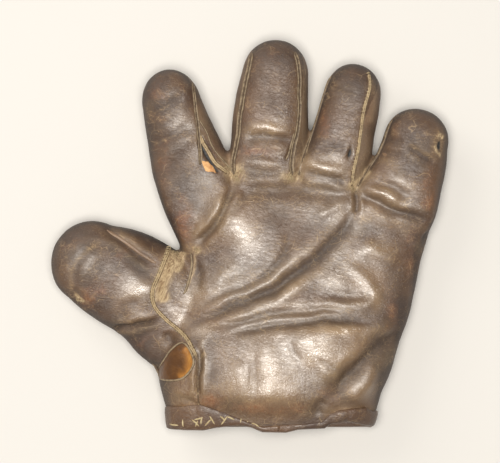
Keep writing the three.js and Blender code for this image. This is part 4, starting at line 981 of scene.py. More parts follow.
def opened(points, faces):
    """The faces left when the wrist and the slit are cut open, with the cut edges drawn onto their lines."""
    centres = points[faces].mean(1)
    outline = slit_outline()
    in_slit = inside(centres[:, :2], outline) & (centres[:, 2] < SEAM_PLANE)
    away = (centres[:, 1] < wrist_line(centres)) | in_slit
    kept = faces[~away]
    touched = np.zeros(len(points), bool)
    touched[faces[away].ravel()] = True
    inner = np.zeros(len(points), bool)
    inner[kept.ravel()] = True
    edge = np.nonzero(touched & inner)[0]
    line = wrist_line(points[edge])
    at_wrist = np.abs(points[edge, 1] - line) < 2 * VOXEL
    points = points.copy()
    points[edge[at_wrist], 1] = line[at_wrist]
    rest = edge[~at_wrist]
    path = smooth_path(outline, 0.5)
    for i in rest:
        nearest = np.argmin(((path - points[i, :2]) ** 2).sum(1))
        points[i, :2] = path[nearest]
    return points, kept


# Pieces of leather cut from the hand volume

def leather_piece(name, points, normals, faces, thickness, masks):
    """A sheet of leather of even thickness under some faces of the hand volume."""
    used = np.unique(faces)
    index = np.full(len(points), -1)
    index[used] = np.arange(len(used))
    outer = points[used]
    outer_faces = index[faces]
    inner = outer - normals[used] * thickness
    count = len(used)
    pairs = np.concatenate([outer_faces[:, [k, (k + 1) % 4]] for k in range(4)])
    forward = {(a, b) for a, b in pairs.tolist()}
    rim = np.array([(b, a, a + count, b + count) for a, b in pairs.tolist() if (b, a) not in forward])
    all_faces = np.concatenate([outer_faces, outer_faces[:, ::-1] + count, rim.reshape(-1, 4)])
    piece = mesh_object(name, np.concatenate([outer, inner]), all_faces)
    shading = np.concatenate([normals[used], -normals[used]])
    piece.data.normals_split_custom_set_from_vertices(shading.tolist())
    for mask, values in masks.items():
        layer = piece.data.attributes.new(mask, "FLOAT", "POINT")
        layer.data.foreach_set("value", np.tile(values[used], 2).astype(np.float32))
    return piece


def bend_with(piece, digit_name):
    """Bakes the placement of a piece of a digit into its mesh. The ends of its bend and its body are worked
    out but not used.
    """
    digit = DIGITS[digit_name]
    start, end = (digit_place(digit, np.array(d, float), np.array(0.0), np.array(0.0)) * METRE
                  for d in (BEND_START, BEND_END))
    start[2] = end[2] = 0
    body = digit_name if digit_name == "thumb" else f"{digit_name}_finger"
    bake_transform(piece)


# Reading places on the surface of the hand

def tree_of(points, faces):
    return BVHTree.FromPolygons([tuple(p) for p in points], [tuple(f) for f in faces])


def on_front(tree, plan, start=RAY_START):
    """Points and normals of the surface that is seen from above at places on the plan."""
    ray = Vector((0, 0, -math.copysign(1, start)))
    hits = [tree.ray_cast(Vector((x, y, start)), ray) for x, y in plan]
    return tuple(np.array([hit[part] for hit in hits if hit[0] is not None]) for part in (0, 1))


def on_back(tree, plan):
    return on_front(tree, plan, -RAY_START)


def nearest_on(tree, points):
    found = [tree.find_nearest(Vector(p)) for p in points]
    return np.array([hit[0] for hit in found]), np.array([hit[1] for hit in found])


def blurred(values, rounds):
    """A row of points or normals, smoothed along the row with its ends held."""
    values = values.copy()
    for _ in range(rounds):
        values[1:-1] = 0.5 * values[1:-1] + 0.25 * (values[:-2] + values[2:])
    return values


def unit(vectors):
    return vectors / np.maximum(np.linalg.norm(vectors, axis=-1, keepdims=True), 1e-9)


def frames_along(points, normals):
    """Directions ahead, sideways and up along a path on the surface."""
    ahead = unit(np.gradient(points, axis=0))
    up = unit(normals - (normals * ahead).sum(1, keepdims=True) * ahead)
    return ahead, np.cross(up, ahead), up


def front_path(tree, pixels):
    points, normals = on_front(tree, smooth_path(place(pixels), SEAM_STEP))
    return blurred(points, 2), unit(blurred(normals, 8))


def digit_seam_path(tree, name, key, first, last):
    """Path of a seam on the surface of a digit, between two distances along it."""
    digit = DIGITS[name]
    distances = np.arange(first, last, SEAM_STEP)
    angles = seam_angle(digit, key, distances)
    left, right, thick = digit_halves(digit, distances)
    wide = np.where(np.cos(angles) > 0, right, left)
    radius = oval_radius(angles, wide, thick, DIGIT_ROUNDNESS)
    path = digit_place(digit, distances, radius * np.cos(angles), radius * np.sin(angles))
    points, normals = nearest_on(tree, path)
    return blurred(points, 3), unit(blurred(normals, 8))


# Swept strips, ridges and threads

# Height that a worn strip loses, and the fullness and number of points at its tapered ends
WORN_LOSS = 0.55
END_FULLNESS = 0.35
END_POINTS = 3


def swept(name, path, profile, wander=0.0, seed=1, flat_from=1.0):
    """A strip along a path, worn flat after a share of it. The profile has points (sideways, up)."""
    points, normals = path
    _, side, up = frames_along(points, normals)
    profile = np.asarray(profile, float)
    sway = wander * noise(points, 7, seed)[:, None, None]
    swell = 1 + 0.5 * wander * noise(points, 3.2, seed + 1)[:, None, None]
    rings = (points[:, None] + side[:, None] * (profile[None, :, :1] + sway)
             + up[:, None] * profile[None, :, 1:] * swell)
    from_end = np.minimum(np.arange(len(points)), np.arange(len(points))[::-1])
    fullness = 1 - WORN_LOSS * ramp(np.linspace(0, 1, len(points)), flat_from - 0.04, flat_from + 0.06)
    taper = np.minimum(1, from_end / END_POINTS + END_FULLNESS) * fullness
    rings = points[:, None] + (rings - points[:, None]) * taper[:, None, None]
    tube_points, tube_quads = closed_tube(list(rings))
    strip = mesh_object(name, tube_points, outward(tube_points, tube_quads))
    lip = np.zeros(len(strip.data.vertices), np.float32)
    heights = (fullness[:, None] * profile[None, :, 1] / profile[:, 1].max()).ravel()
    lip[:len(heights)] = np.clip(heights, 0, 1)[:len(lip)]
    strip.data.attributes.new("lip", "FLOAT", "POINT").data.foreach_set("value", lip)
    return strip


# Right half of each cross-section, as shares of its half width and height, and its middle last:
# two raw edges that stand close, two thin lips with a channel between them, and one soft lip
LIPS = {
    "rope": [(1, 0.1), (0.75, 0.75), (0.5, 1), (0.2, 0.9), (0.02, 0.4)],
    "lips": [(1, 0), (0.88, 0.75), (0.72, 1), (0.5, 0.8), (0.3, 0.45), (0, 0.3)],
    "single": [(1, 0), (0.8, 0.6), (0.4, 0.95), (0, 1)],
}
LIPS["fold"] = LIPS["single"]


def lip_profile(kind, half_width, height):
    *half, middle = [(x, share * height) for x, share in LIPS[kind]]
    half = [(1, -SUNK)] + half
    points = half + [middle] + [(-x, z) for x, z in reversed(half)] + [(0.02, -SUNK)]
    return [(x * half_width, z) for x, z in points]


def round_profile(radius, sides=8):
    return [(radius * math.cos(a), radius * math.sin(a)) for a in full_turn(sides)]


def merge_pieces(name, pieces):
    """One object from several, with their meshes joined."""
    with bpy.context.temp_override(active_object=pieces[0], selected_editable_objects=pieces):
        bpy.ops.object.join()
    pieces[0].name = name
    pieces[0].data.name = name
    return pieces[0]


def finished(piece, finish, body, digit=None, nodes=()):
    """Gives a piece its finish and hides the CAD nodes that it stands for. A piece of a digit has its
    placement baked; any other piece is attached to the body that it moves with.
    """
    if not piece.data.materials:
        piece.data.materials.append(finish)
    if nodes:
        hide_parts(*nodes)
    if digit:
        bend_with(piece, digit)
    else:
        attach(piece, body)
    return piece


# Stitches, laid along a path by Geometry Nodes

STITCH_SIZES = ("Pitch", "Reach", "Height", "Thread", "Slant")
STITCH_PITCH = 1.9
STITCH_FULLNESS = 1.1
THREAD_RADIUS = 0.24
STITCH_SLANT = 20


def wired(tree, kind, settings, inputs):
    """A new node with its settings, and with its inputs linked or set."""
    node = tree.nodes.new(kind)
    for key, value in settings.items():
        setattr(node, key, value)
    for key, value in inputs.items():
        if isinstance(value, bpy.types.NodeSocket):
            tree.links.new(value, node.inputs[key])
        else:
            node.inputs[key].default_value = value
    return node


class Growth:
    """A Geometry Nodes tree whose nodes are added by expressions."""

    def __init__(self, name, inputs):
        self.tree = bpy.data.node_groups.new(name, "GeometryNodeTree")
        interface = self.tree.interface
        interface.new_socket("Geometry", in_out="INPUT", socket_type="NodeSocketGeometry")
        for label in inputs:
            interface.new_socket(label, in_out="INPUT", socket_type="NodeSocketFloat")
        interface.new_socket("Geometry", in_out="OUTPUT", socket_type="NodeSocketGeometry")
        self.start = self.tree.nodes.new("NodeGroupInput")

    def node(self, kind, inputs, **settings):
        return wired(self.tree, kind, settings, inputs).outputs

    def finish(self, geometry):
        end = self.tree.nodes.new("NodeGroupOutput")
        self.tree.links.new(geometry, end.inputs[0])
        return self.tree


def stitch_tree(finish):
    """Bowed threads at an even pitch along a path whose points carry the direction up."""
    g = Growth("stitches", STITCH_SIZES)
    pitch, reach, height, radius, slant = (g.start.outputs[size] for size in STITCH_SIZES)
    curve = g.node("GeometryNodeMeshToCurve", {"Mesh": g.start.outputs["Geometry"]})["Curve"]
    curve = g.node("GeometryNodeResampleCurve", {"Curve": curve, "Length": pitch}, mode="LENGTH")["Curve"]
    up = g.node("GeometryNodeInputNamedAttribute", {"Name": "up"}, data_type="FLOAT_VECTOR")["Attribute"]
    ahead = g.node("GeometryNodeInputTangent", {})["Tangent"]
    turn = g.node("FunctionNodeAxesToRotation", {"Primary Axis": up, "Secondary Axis": ahead},
                  primary_axis="Z", secondary_axis="X")["Rotation"]
    lean = g.node("ShaderNodeCombineXYZ", {"Z": slant})["Vector"]
    lean = g.node("FunctionNodeEulerToRotation", {"Euler": lean})["Rotation"]
    turn = g.node("FunctionNodeRotateRotation", {"Rotation": turn, "Rotate By": lean},
                  rotation_space="LOCAL")["Rotation"]
    negative = g.node("ShaderNodeMath", {0: reach, 1: -1.0}, operation="MULTIPLY")["Value"]
    peak = g.node("ShaderNodeMath", {0: height, 1: 2.0}, operation="MULTIPLY")["Value"]
    left = g.node("ShaderNodeCombineXYZ", {"Y": negative})["Vector"]
    right = g.node("ShaderNodeCombineXYZ", {"Y": reach})["Vector"]
    top = g.node("ShaderNodeCombineXYZ", {"Z": peak})["Vector"]
    bow = g.node("GeometryNodeCurveQuadraticBezier",
                 {"Resolution": 6, "Start": left, "Middle": top, "End": right})["Curve"]
    ring = g.node("GeometryNodeCurvePrimitiveCircle", {"Resolution": 5, "Radius": radius})["Curve"]
    bead = g.node("GeometryNodeCurveToMesh", {"Curve": bow, "Profile Curve": ring, "Fill Caps": True})["Mesh"]
    row = g.node("GeometryNodeInstanceOnPoints",
                 {"Points": curve, "Instance": bead, "Rotation": turn})["Instances"]
    mesh = g.node("GeometryNodeRealizeInstances", {"Geometry": row})["Geometry"]
    mesh = g.node("GeometryNodeSetMaterial", {"Geometry": mesh, "Material": finish})["Geometry"]
    return g.finish(mesh)


def stitched(name, tree, path, reach, height):
    """A row of stitches as a plain mesh."""
    points, normals = path
    mesh = bpy.data.meshes.new(name)
    mesh.from_pydata((points * METRE).tolist(), [(i, i + 1) for i in range(len(points) - 1)], [])
    layer = mesh.attributes.new("up", "FLOAT_VECTOR", "POINT")
    layer.data.foreach_set("vector", normals.astype(np.float32).ravel())
    guide = bpy.data.objects.new(name, mesh)
    bpy.context.scene.collection.objects.link(guide)
    grown = guide.modifiers.new("stitches", "NODES")
    grown.node_group = tree
    lengths = [size * METRE for size in (STITCH_PITCH, reach, height, THREAD_RADIUS)]
    sizes = dict(zip(STITCH_SIZES, lengths + [math.radians(STITCH_SLANT)]))
    for item in tree.interface.items_tree:
        if item.in_out == "INPUT" and item.name in sizes:
            grown[item.identifier] = sizes[item.name]
    result = bpy.data.meshes.new_from_object(guide.evaluated_get(bpy.context.evaluated_depsgraph_get()))
    bpy.data.objects.remove(guide)
    result.name = name
    result.polygons.foreach_set("use_smooth", np.ones(len(result.polygons), bool))
    piece = bpy.data.objects.new(name, result)
    bpy.context.scene.collection.objects.link(piece)
    return piece


# Shader maths

class Value:
    """An output socket that takes part in Python expressions."""

    def __init__(self, finish, socket):
        self.finish = finish
        self.socket = socket

    def _maths(self, operation, *operands):
        return self.finish.node("ShaderNodeMath", {"operation": operation}, operands)

    def __add__(self, other):
        return self._maths("ADD", self, other)

    __radd__ = __add__

    def __sub__(self, other):
        return self._maths("SUBTRACT", self, other)

    def __rsub__(self, other):
        return self._maths("SUBTRACT", other, self)

    def __mul__(self, other):
        return self._maths("MULTIPLY", self, other)

    __rmul__ = __mul__

    def clipped(self):
        return self.finish.node("ShaderNodeClamp", {}, {"Value": self, "Min": 0, "Max": 1})

    def ramp(self, low, high):
        """Rises smoothly from 0 at low to 1 at high."""
        return self.finish.node("ShaderNodeMapRange", {"interpolation_type": "SMOOTHSTEP"},
                                {"Value": self, "From Min": low, "From Max": high})

    def away(self, level):
        """Distance from a level."""
        return self.finish.node("ShaderNodeMath", {"operation": "ABSOLUTE"}, [self - level])


class Finish:
    """A material whose nodes are added by expressions."""

    def __init__(self, name):
        self.material = bpy.data.materials.new(name)
        self.material.use_nodes = True
        self.tree = self.material.node_tree
        self.tree.nodes.clear()

    def node(self, kind, settings, inputs, output=0):
        inputs = inputs if isinstance(inputs, dict) else dict(enumerate(inputs))
        sockets = {key: value.socket if isinstance(value, Value) else value for key, value in inputs.items()}
        return Value(self, wired(self.tree, kind, settings, sockets).outputs[output])

    def where(self):
        return self.node("ShaderNodeTexCoord", {}, {}, "Object")

    def mask(self, name):
        return self.node("ShaderNodeAttribute", {"attribute_name": name}, {}, "Fac")

    def stretched(self, vector, turn, long, wide):
        """Coordinates in which a texture is drawn out along a direction in the plan."""
        return self.node("ShaderNodeMapping", {"vector_type": "TEXTURE"}, {
            "Vector": vector, "Rotation": (0, 0, math.radians(turn)), "Scale": (long, wide, 1)})

    def cloud(self, vector, size, detail, roughness=0.55, distortion=0.0):
        """Noise from 0 to 1 with swellings of about the given size in millimetres."""
        return self.node("ShaderNodeTexNoise", {}, {
            "Vector": vector, "Scale": 1 / (size * METRE), "Detail": detail, "Roughness": roughness,
            "Distortion": distortion}, "Fac")

    def cells(self, vector, size, feature="F1"):
        return self.node("ShaderNodeTexVoronoi", {"feature": feature}, {
            "Vector": vector, "Scale": 1 / (size * METRE)}, "Distance")

    def mix(self, share, low, high):
        """Colour between two colours."""
        return self.node("ShaderNodeMix", {"data_type": "RGBA"}, {0: share, 6: low, 7: high}, 2)

    def bumped(self, height, depth):
        """Normal of a surface whose relief has the given depth in millimetres."""
        return self.node("ShaderNodeBump", {}, {"Height": height, "Strength": 1, "Distance": depth * METRE})

    def surface(self, **inputs):
        sockets = {key.replace("_", " "): value for key, value in inputs.items()}
        shader = self.node("ShaderNodeBsdfPrincipled", {}, sockets)
        output = self.tree.nodes.new("ShaderNodeOutputMaterial")
        self.tree.links.new(shader.socket, output.inputs["Surface"])
        return self.material


def colour(red, green, blue):
    """A colour as it is seen on a screen, from 0 to 255, for a shader."""
    parts = [c / 255 for c in (red, green, blue)]
    return [c / 12.92 if c < 0.04045 else ((c + 0.055) / 1.055) ** 2.4 for c in parts] + [1]


# Finishes

def glove_leather(name, deep, plain, warm, pale, rubbed, shading):
    """Old oiled leather: wrinkled grain, warm and rubbed places, dark folds of painted shade, torn places and
    scratches, with painted shade on flanks and shaded places and painted highlights on polished places.
    """
    f = Finish(name)
    where = f.where()
    hollow, crest, wear, rust = (f.mask(mask) for mask in ("hollow", "crest", "wear", "rust"))
    upright, raw, opening = (f.mask(mask) for mask in ("upright", "raw", "opening"))
    polish_and_highlight, grained = (f.mask(mask) for mask in ("polish_and_highlight", "grained"))
    # Painted shade: the shade spots and the flanks darken the base colour
    shade = (f.mask("shade") + f.mask("flank")).clipped()
    broad = f.cloud(where, 30, 3)
    patchy = f.cloud(where, 9, 5, 0.6)
    speckle = f.cloud(where, 1.4, 3, 0.6)
    flecks = f.cloud(where, 0.9, 2, 0.7).ramp(0.62, 0.72) * f.cloud(where, 17, 2).ramp(0.45, 0.6)
    swirl = f.node("ShaderNodeVectorMath", {"operation": "SCALE"}, {
        0: f.node("ShaderNodeTexNoise", {}, {"Vector": where, "Scale": 90}, "Color"), "Scale": 0.006})
    bent = f.node("ShaderNodeVectorMath", {"operation": "ADD"}, [where, swirl])
    lying = f.cloud(f.stretched(bent, -14, 3.3, 1), 1.5, 4, 0.62, 0.9)
    standing = f.cloud(f.stretched(where, 88, 4, 1), 1.4, 4, 0.62, 0.6)
    wrinkle = lying * (1 - upright) + standing * upright
    creased = wrinkle.away(0.5).ramp(0, 0.07)
    grain = f.cells(f.stretched(where, 15, 1.3, 0.85), 1.0)
    cracks = 1 - f.cells(f.stretched(where, 20, 1.4, 0.8), 2.4, "DISTANCE_TO_EDGE").ramp(0, 0.1)
    scratches = 1 - f.cells(f.stretched(bent, 35, 2, 0.8), 10, "DISTANCE_TO_EDGE").ramp(0, 0.016)
    scratches = scratches * f.cloud(where, 13, 2).ramp(0.52, 0.64)
    base = f.mix(broad.ramp(0.34, 0.66), deep, plain)
    base = f.mix(((patchy - 0.5) * 1.3 + rust * 0.6 + (speckle - 0.5) * 0.5).ramp(0.1, 1.2), base, warm)
    base = f.mix((1 - creased) * 0.25, base, deep)
    # Painted highlight: polished places are lightened towards the pale colour
    base = f.mix((polish_and_highlight * 0.42).clipped(), base, pale)
    # Colour of painted shade, for the folds and the shaded places
    painted_shade = [part * 0.5 for part in deep[:3]] + [1]
    # Painted shade: folds darkened
    base = f.mix((hollow * 0.8).clipped(), base, painted_shade)
    base = f.mix(shade * shading, base, painted_shade)
    raised = wrinkle.ramp(0.48, 0.7)
    worked = (crest * 0.3 + wear * 0.9 + hollow * 0.1 + patchy.ramp(0.44, 0.64) * 0.3).clipped()
    rubbing = (worked * raised * 0.42 + wear * 0.22 + crest * 0.1 + scratches * 0.34
               + cracks * (patchy.ramp(0.5, 0.66) * 0.2 + hollow * 0.06)
               + upright * (1 - creased) * patchy * 0.4
               + speckle.ramp(0.62, 0.75) * 0.15 + flecks * 0.35)
    base = f.mix(rubbing.clipped(), base, rubbed)
    fibres = f.cloud(f.stretched(where, 62, 5, 1), 1.2, 5, 0.7, 0.8)
    torn = f.mix(fibres.ramp(0.3, 0.7), colour(122, 92, 60), colour(206, 182, 142))
    base = f.mix((raw * (0.6 + fibres) * 1.6).clipped(), base, torn)
    # Painted shade: openings near black, as the dark inside of the glove
    base = f.mix(opening.ramp(0.35, 0.7), base, colour(16, 12, 10))
    relief = (wrinkle * (0.3 + grained * 0.4 + worked * 0.2) + creased * 0.08 + grain * 0.1
              - cracks * 0.05 + patchy * 0.4 + speckle * 0.04 - scratches * 0.03 + raw * fibres * 0.8)
    rough = (0.47 - polish_and_highlight * 0.2 + shade * 0.3 + (patchy - 0.5) * 0.15 + wear * 0.12 + raw * 0.4
             + hollow * 0.25 + (speckle - 0.5) * 0.15)
    sheen = (polish_and_highlight + 0.06) * (1 - raw) * (1 - hollow * 0.85) * (1 - shade * 0.6) * 0.65
    return f.surface(Base_Color=base, Roughness=rough.clipped(), IOR=1.85, Coat_Weight=sheen.clipped(),
                     Coat_Roughness=0.4, Coat_IOR=1.8, Normal=f.bumped(relief, 0.7))


def amber_finish():
    """Smooth leather that was never worn: dark at the fold with painted shade, amber on the side of the seam.
    """
    f = Finish("amber_leather")
    where = f.where()
    cloud = f.cloud(where, 5, 4, 0.6)
    rim = f.mask("rim")
    streaks = f.cloud(f.stretched(where, 70, 3.3, 1), 1.6, 4, 0.6)
    amber_share = (rim * 0.8 + (cloud - 0.5) * 0.8 + 0.1).ramp(0.0, 1.0)
    base = f.mix(amber_share, colour(88, 58, 32), colour(160, 108, 50))
    base = f.mix(((streaks - 0.4) * 2 + rim - 0.7).ramp(0.2, 1.0) * 0.6, base, colour(204, 150, 76))
    # Painted shade: folds darkened
    base = f.mix(f.mask("hollow"), base, colour(50, 34, 22))
    return f.surface(Base_Color=base, Roughness=0.26 + cloud * 0.12, Normal=f.bumped(cloud, 0.5))


def seam_finish(name, flank, lip, rough):
    """Raw edges of leather: a pale lip over a darker flank."""
    f = Finish(name)
    where = f.where()
    cloud = f.cloud(where, 2.6, 4, 0.65)
    fine = f.cloud(where, 0.6, 3, 0.6)
    share = (f.mask("lip") + (cloud - 0.5) * 2.2 + (fine - 0.5) * 0.8).ramp(0.3, 1.1)
    return f.surface(Base_Color=f.mix(share, flank, lip), Roughness=(rough + (cloud - 0.5) * 0.3).clipped(),
                     Normal=f.bumped(fine * 0.12 + cloud * 0.4, 1))


def plain_finish(name, low, high, rough, size, relief, metal=0.0):
    """Two colours in a cloudy mixture, over a fine relief."""
    f = Finish(name)
    where = f.where()
    cloud = f.cloud(where, size, 4, 0.6)
    fine = f.cloud(where, size / 5, 3, 0.6)
    return f.surface(
        Base_Color=f.mix((cloud + (fine - 0.5) * 0.5).ramp(0.3, 0.7), low, high),
        Roughness=(rough + (cloud - 0.5) * 0.25).clipped(), Metallic=metal,
        Normal=f.bumped(fine + cloud, relief))


def floor_finish():
    return Finish("pale_floor").surface(Base_Color=colour(222, 220, 216), Roughness=0.9)


leather = glove_leather("old_leather", colour(66, 42, 24), colour(102, 72, 45), colour(150, 86, 38),
                        colour(170, 142, 110), colour(198, 168, 124), 0.85)
side_leather = glove_leather("side_leather", colour(90, 66, 46), colour(136, 106, 78), colour(148, 102, 62),
                             colour(160, 138, 112), colour(200, 176, 138), 0.4)
amber = amber_finish()
seam_edge = seam_finish("seam_edge", colour(86, 69, 52), colour(148, 130, 104), 0.6)
rope_edge = seam_finish("rope_edge", colour(96, 76, 56), colour(180, 158, 122), 0.6)
thread = plain_finish("thread", colour(172, 152, 112), colour(204, 188, 150), 0.8, 2, 0.15)
old_thread = plain_finish("old_thread", colour(152, 132, 100), colour(198, 180, 144), 0.8, 2, 0.15)
lining_leather = plain_finish("lining_leather", colour(150, 104, 68), colour(196, 148, 104), 0.8, 8, 0.2)
peach_lining = plain_finish("peach_lining", colour(190, 134, 84), colour(232, 184, 128), 0.75, 3, 0.3)
brass = plain_finish("brass", colour(110, 84, 44), colour(164, 128, 70), 0.35, 3, 0.05, 1.0)


# The hand

rough_points, rough_faces = united(
    [closed_tube(palm_rings())] + [closed_tube(digit_rings(digit)) for digit in DIGITS.values()], VOXEL)
rough_points = relaxed(rough_points, edges_of(rough_faces), SKIN_ROUNDS)
skin_points, skin_faces = opened(rough_points, rough_faces)
labels, digit_of = hand_labels(skin_points, skin_faces)
skin_edges = edges_of(skin_faces)
skin_points, masks = sculpted(skin_points, skin_faces, skin_edges)
skin_normals = normals_of(skin_points, skin_faces)
skin = tree_of(skin_points, skin_faces)
whole = tree_of(rough_points, rough_faces)

PADS_UNDER = {
    "palm_leather": ["palm_pad", "heel_pad", "side_pad"],
    "thumb_base_leather": ["thumb_base_pad"],
}
FINISH_OF = {"thumb_base_gusset": amber}
for label in sorted(set(labels)):
    chosen = labels == label
    digit = digit_of[chosen][0]
    piece = leather_piece(f"{label}_skin", skin_points, skin_normals, skin_faces[chosen], LEATHER, masks)
    covered = [label] + PADS_UNDER.get(label, [])
    if label.endswith("front_leather"):
        covered.append(f"{digit}_pad")
    finish = FINISH_OF.get(label, side_leather if "fourchette" in label else leather)
    finished(piece, finish, "glove", digit, covered)


def web_wall(name, neighbour, notch, middle_angle):
    """The side of a finger where it touches its neighbour, under the skin while the fingers lie straight."""
    digit = DIGITS[name]
    last = digit_local(digit, place(notch))[0] + WALL_OVERLAP
    distances = np.arange(BEND_START - WALL_OVERLAP, last, 1.0)
    aside = (np.degrees(full_turn(DIGIT_SIDES)) - middle_angle + 180) % 360 - 180
    chosen = [i for i in np.argsort(aside) if abs(aside[i]) < WALL_HALF_ANGLE]
    rings = np.array([digit_ring(digit, d, WALL_SCALE)[chosen] for d in distances])
    axis = digit_place(digit, distances, 0 * distances, 0 * distances)
    faces = tube_faces(len(distances), len(chosen), closed=False)
    points = rings.reshape(-1, 3)
    normals = normals_of(points, faces)
    if ((rings - axis[:, None]).reshape(-1, 3) * normals).sum() < 0:
        faces = faces[:, ::-1]
        normals = -normals
    wall = leather_piece(f"{name}_wall_to_{neighbour}", points, normals, faces, WALL_THICKNESS, {})
    return finished(wall, side_leather, "glove", name)


for (left, right), notch in NOTCHES.items():
    web_wall(left, right, notch, 0)
    web_wall(right, left, notch, 180)

# Linings

lining_tubes = [closed_tube(palm_rings(LINING_DEPTH))]
lining_tubes += [closed_tube(digit_rings(digit, LINING_DEPTH)) for digit in DIGITS.values()]
lined_points, lined_faces = united(lining_tubes, LINING_VOXEL)
lined_points = relaxed(lined_points, edges_of(lined_faces), LINING_ROUNDS)
lined_points, lined_faces = opened(lined_points, lined_faces)
lined_labels, lined_digits = hand_labels(lined_points, lined_faces)
lined_normals = normals_of(lined_points, lined_faces)
lining = tree_of(lined_points, lined_faces)
lined_centres = lined_points[lined_faces].mean(1)
past_hem = lined_centres[:, 1] >= wrist_line(lined_centres) + LINING_SETBACK
lined_faces = lined_faces[past_hem]
lined_labels = lined_labels[past_hem]
lined_digits = lined_digits[past_hem]
for digit in ["", *DIGITS]:
    for half in ("palm", "back") if not digit else ("",):
        chosen = lined_digits == digit
        if not digit:
            chosen &= (lined_labels == "back_leather") == (half == "back")
        node = f"{digit or half}_lining"
        piece = leather_piece(f"{node}_sheet", lined_points, lined_normals, lined_faces[chosen], LINING, {})
        finished(piece, lining_leather, "glove", digit, [node])

# Raised seams with their stitches

overcast = stitch_tree(old_thread)
SEAM_FINISHES = {"rope": rope_edge, "lips": seam_edge, "single": seam_edge, "fold": side_leather}
SIDE_SEAM_HALF_WIDTH = 1.1
SIDE_SEAM_HEIGHT = 0.7


def seam(name, path, profile, half_width, height, sewn, digit, node):
    """A raised seam, stitched over a share of its length."""
    strip = swept(f"{name}_edges", path, lip_profile(profile, half_width, height), 0.4, len(name), sewn or 1)
    nodes = [node] if node else []
    finished(strip, SEAM_FINISHES[profile], "glove", digit, nodes)
    if sewn:
        last = int(sewn * len(path[0]))
        sewn_path = (path[0][:last], path[1][:last])
        row = stitched(f"{name}_stitches", overcast, sewn_path, half_width * STITCH_FULLNESS,
                       height * STITCH_FULLNESS)
        finished(row, old_thread, "glove", digit)


def side_seam(name, digit, key, first, last, node):
    path = digit_seam_path(skin, digit, key, first, last)
    seam(name, path, "lips", SIDE_SEAM_HALF_WIDTH, SIDE_SEAM_HEIGHT, 0, digit, node)


for name, (pixels, profile, half_width, height, sewn, digit, node) in FRONT_SEAMS.items():
    seam(name, front_path(skin, pixels), profile, half_width, height, sewn, digit, node)
for digit, last in LEFT_SEAMS.items():
    side_seam(f"{digit}_left_seam", digit, "left_front", LEFT_SEAM_START, last, f"{digit}_left_welt")
for (digit, side), last in BACK_SEAMS.items():
    side_seam(f"{digit}_back_{side}_seam", digit, f"{side}_back", BACK_SEAM_START, last, None)

gusset_rows = np.arange(LENS[LENS_TOP][1], LENS[LENS_FOOT][1] + 1, MARK_STEP)
gusset_side = place([(LENS[LENS_FOOT + 1][0], row) for row in gusset_rows])
beside_gusset = [(x, y, GUSSET_FOOT) for x, y in gusset_side]
seam("gusset_outer_edge", nearest_on(skin, beside_gusset), "single", 0.7, 0.5, 0, None, None)


def frayed(name, centre, reach, count, digit):
    """Loose ends of thread that stand out from a place."""
    ends = []
    for i in range(count):
        turn = 2 * math.pi * chance(i, count, 1)
        length = reach * (0.35 + 0.65 * chance(i, count, 2))
        along = np.linspace(0, 1, 6)[:, None]
        bend = 0.5 * (chance(i, count, 3) - 0.5)
        heading = np.stack([np.cos(turn + bend * along[:, 0] * 4), np.sin(turn + bend * along[:, 0] * 4)], 1)
        plan = place(centre) + heading * along * length
        points, ups = on_front(skin, plan)
        lift = (0.3 + 0.9 * chance(i, count, 4) * np.sin(math.pi * along[:len(points)]))
        if len(points) == len(plan):
            ends.append(swept("fray", (points + ups * lift, ups), round_profile(FRAY_RADIUS, 5)))
    return finished(merge_pieces(name, ends), old_thread, "glove", digit)


for i, (centre, reach, count, digit) in enumerate(FRAYS):
    frayed(f"frayed_thread_{i + 1}", centre, reach, count, digit)

# Wrist edge and slit, bound with folded strips. Angles are degrees round the wrist from its middle in front
HEM_JOIN = 2.2
HEM_TURN = 195
HEM_STATIONS = 270
HEM_REACH = 6
# Unevenness of the hem: size, height and seed. Its roll swells between two columns
HEM_WAVES = [(6, 0.35, 21), (2.4, 0.2, 22)]
HEM_ROLL = (326, 338)
ROLL_PUFF = 1.3


def fold_profile(wall, inner_wall, reach):
    """Cross-section of a folded strip: share of the way to its outer edge or depth, and height."""
    return [
        ("band", 1, 0.05), ("band", 0.985, 0.75), ("band", 0.75, 1.1), ("band", 0.3, 1.15), ("edge", 0, 1.0),
        ("edge", -0.9, 0.3), ("edge", -1.25, -0.5 * wall), ("edge", -0.9, -wall - 0.2),
        ("edge", 0, -wall - 0.9), ("edge", 0.5 * reach, -0.5 * (wall + inner_wall) - 1.1),
        ("edge", reach, -inner_wall - 1.0), ("edge", reach, -inner_wall + 0.4),
    ]


def folded_strip(name, edge, band, normals, walls, puffs, reach=HEM_REACH):
    """A strip folded over an edge of the leather. The walls are the thicknesses that it covers."""
    rings = []
    for e, b, n, (wall, inner_wall), puff in zip(edge, band, normals, walls, puffs):
        away = unit(b - e)
        ring = []
        for kind, along, height in fold_profile(wall, inner_wall, reach):
            start = e + (b - e) * along if kind == "band" else e + away * along
            lift = height * puff if height > 0 else height
            ring.append(start + n * lift)
        rings.append(np.array(ring))
    points, faces = closed_tube(rings)
    return mesh_object(name, points, outward(points, faces))


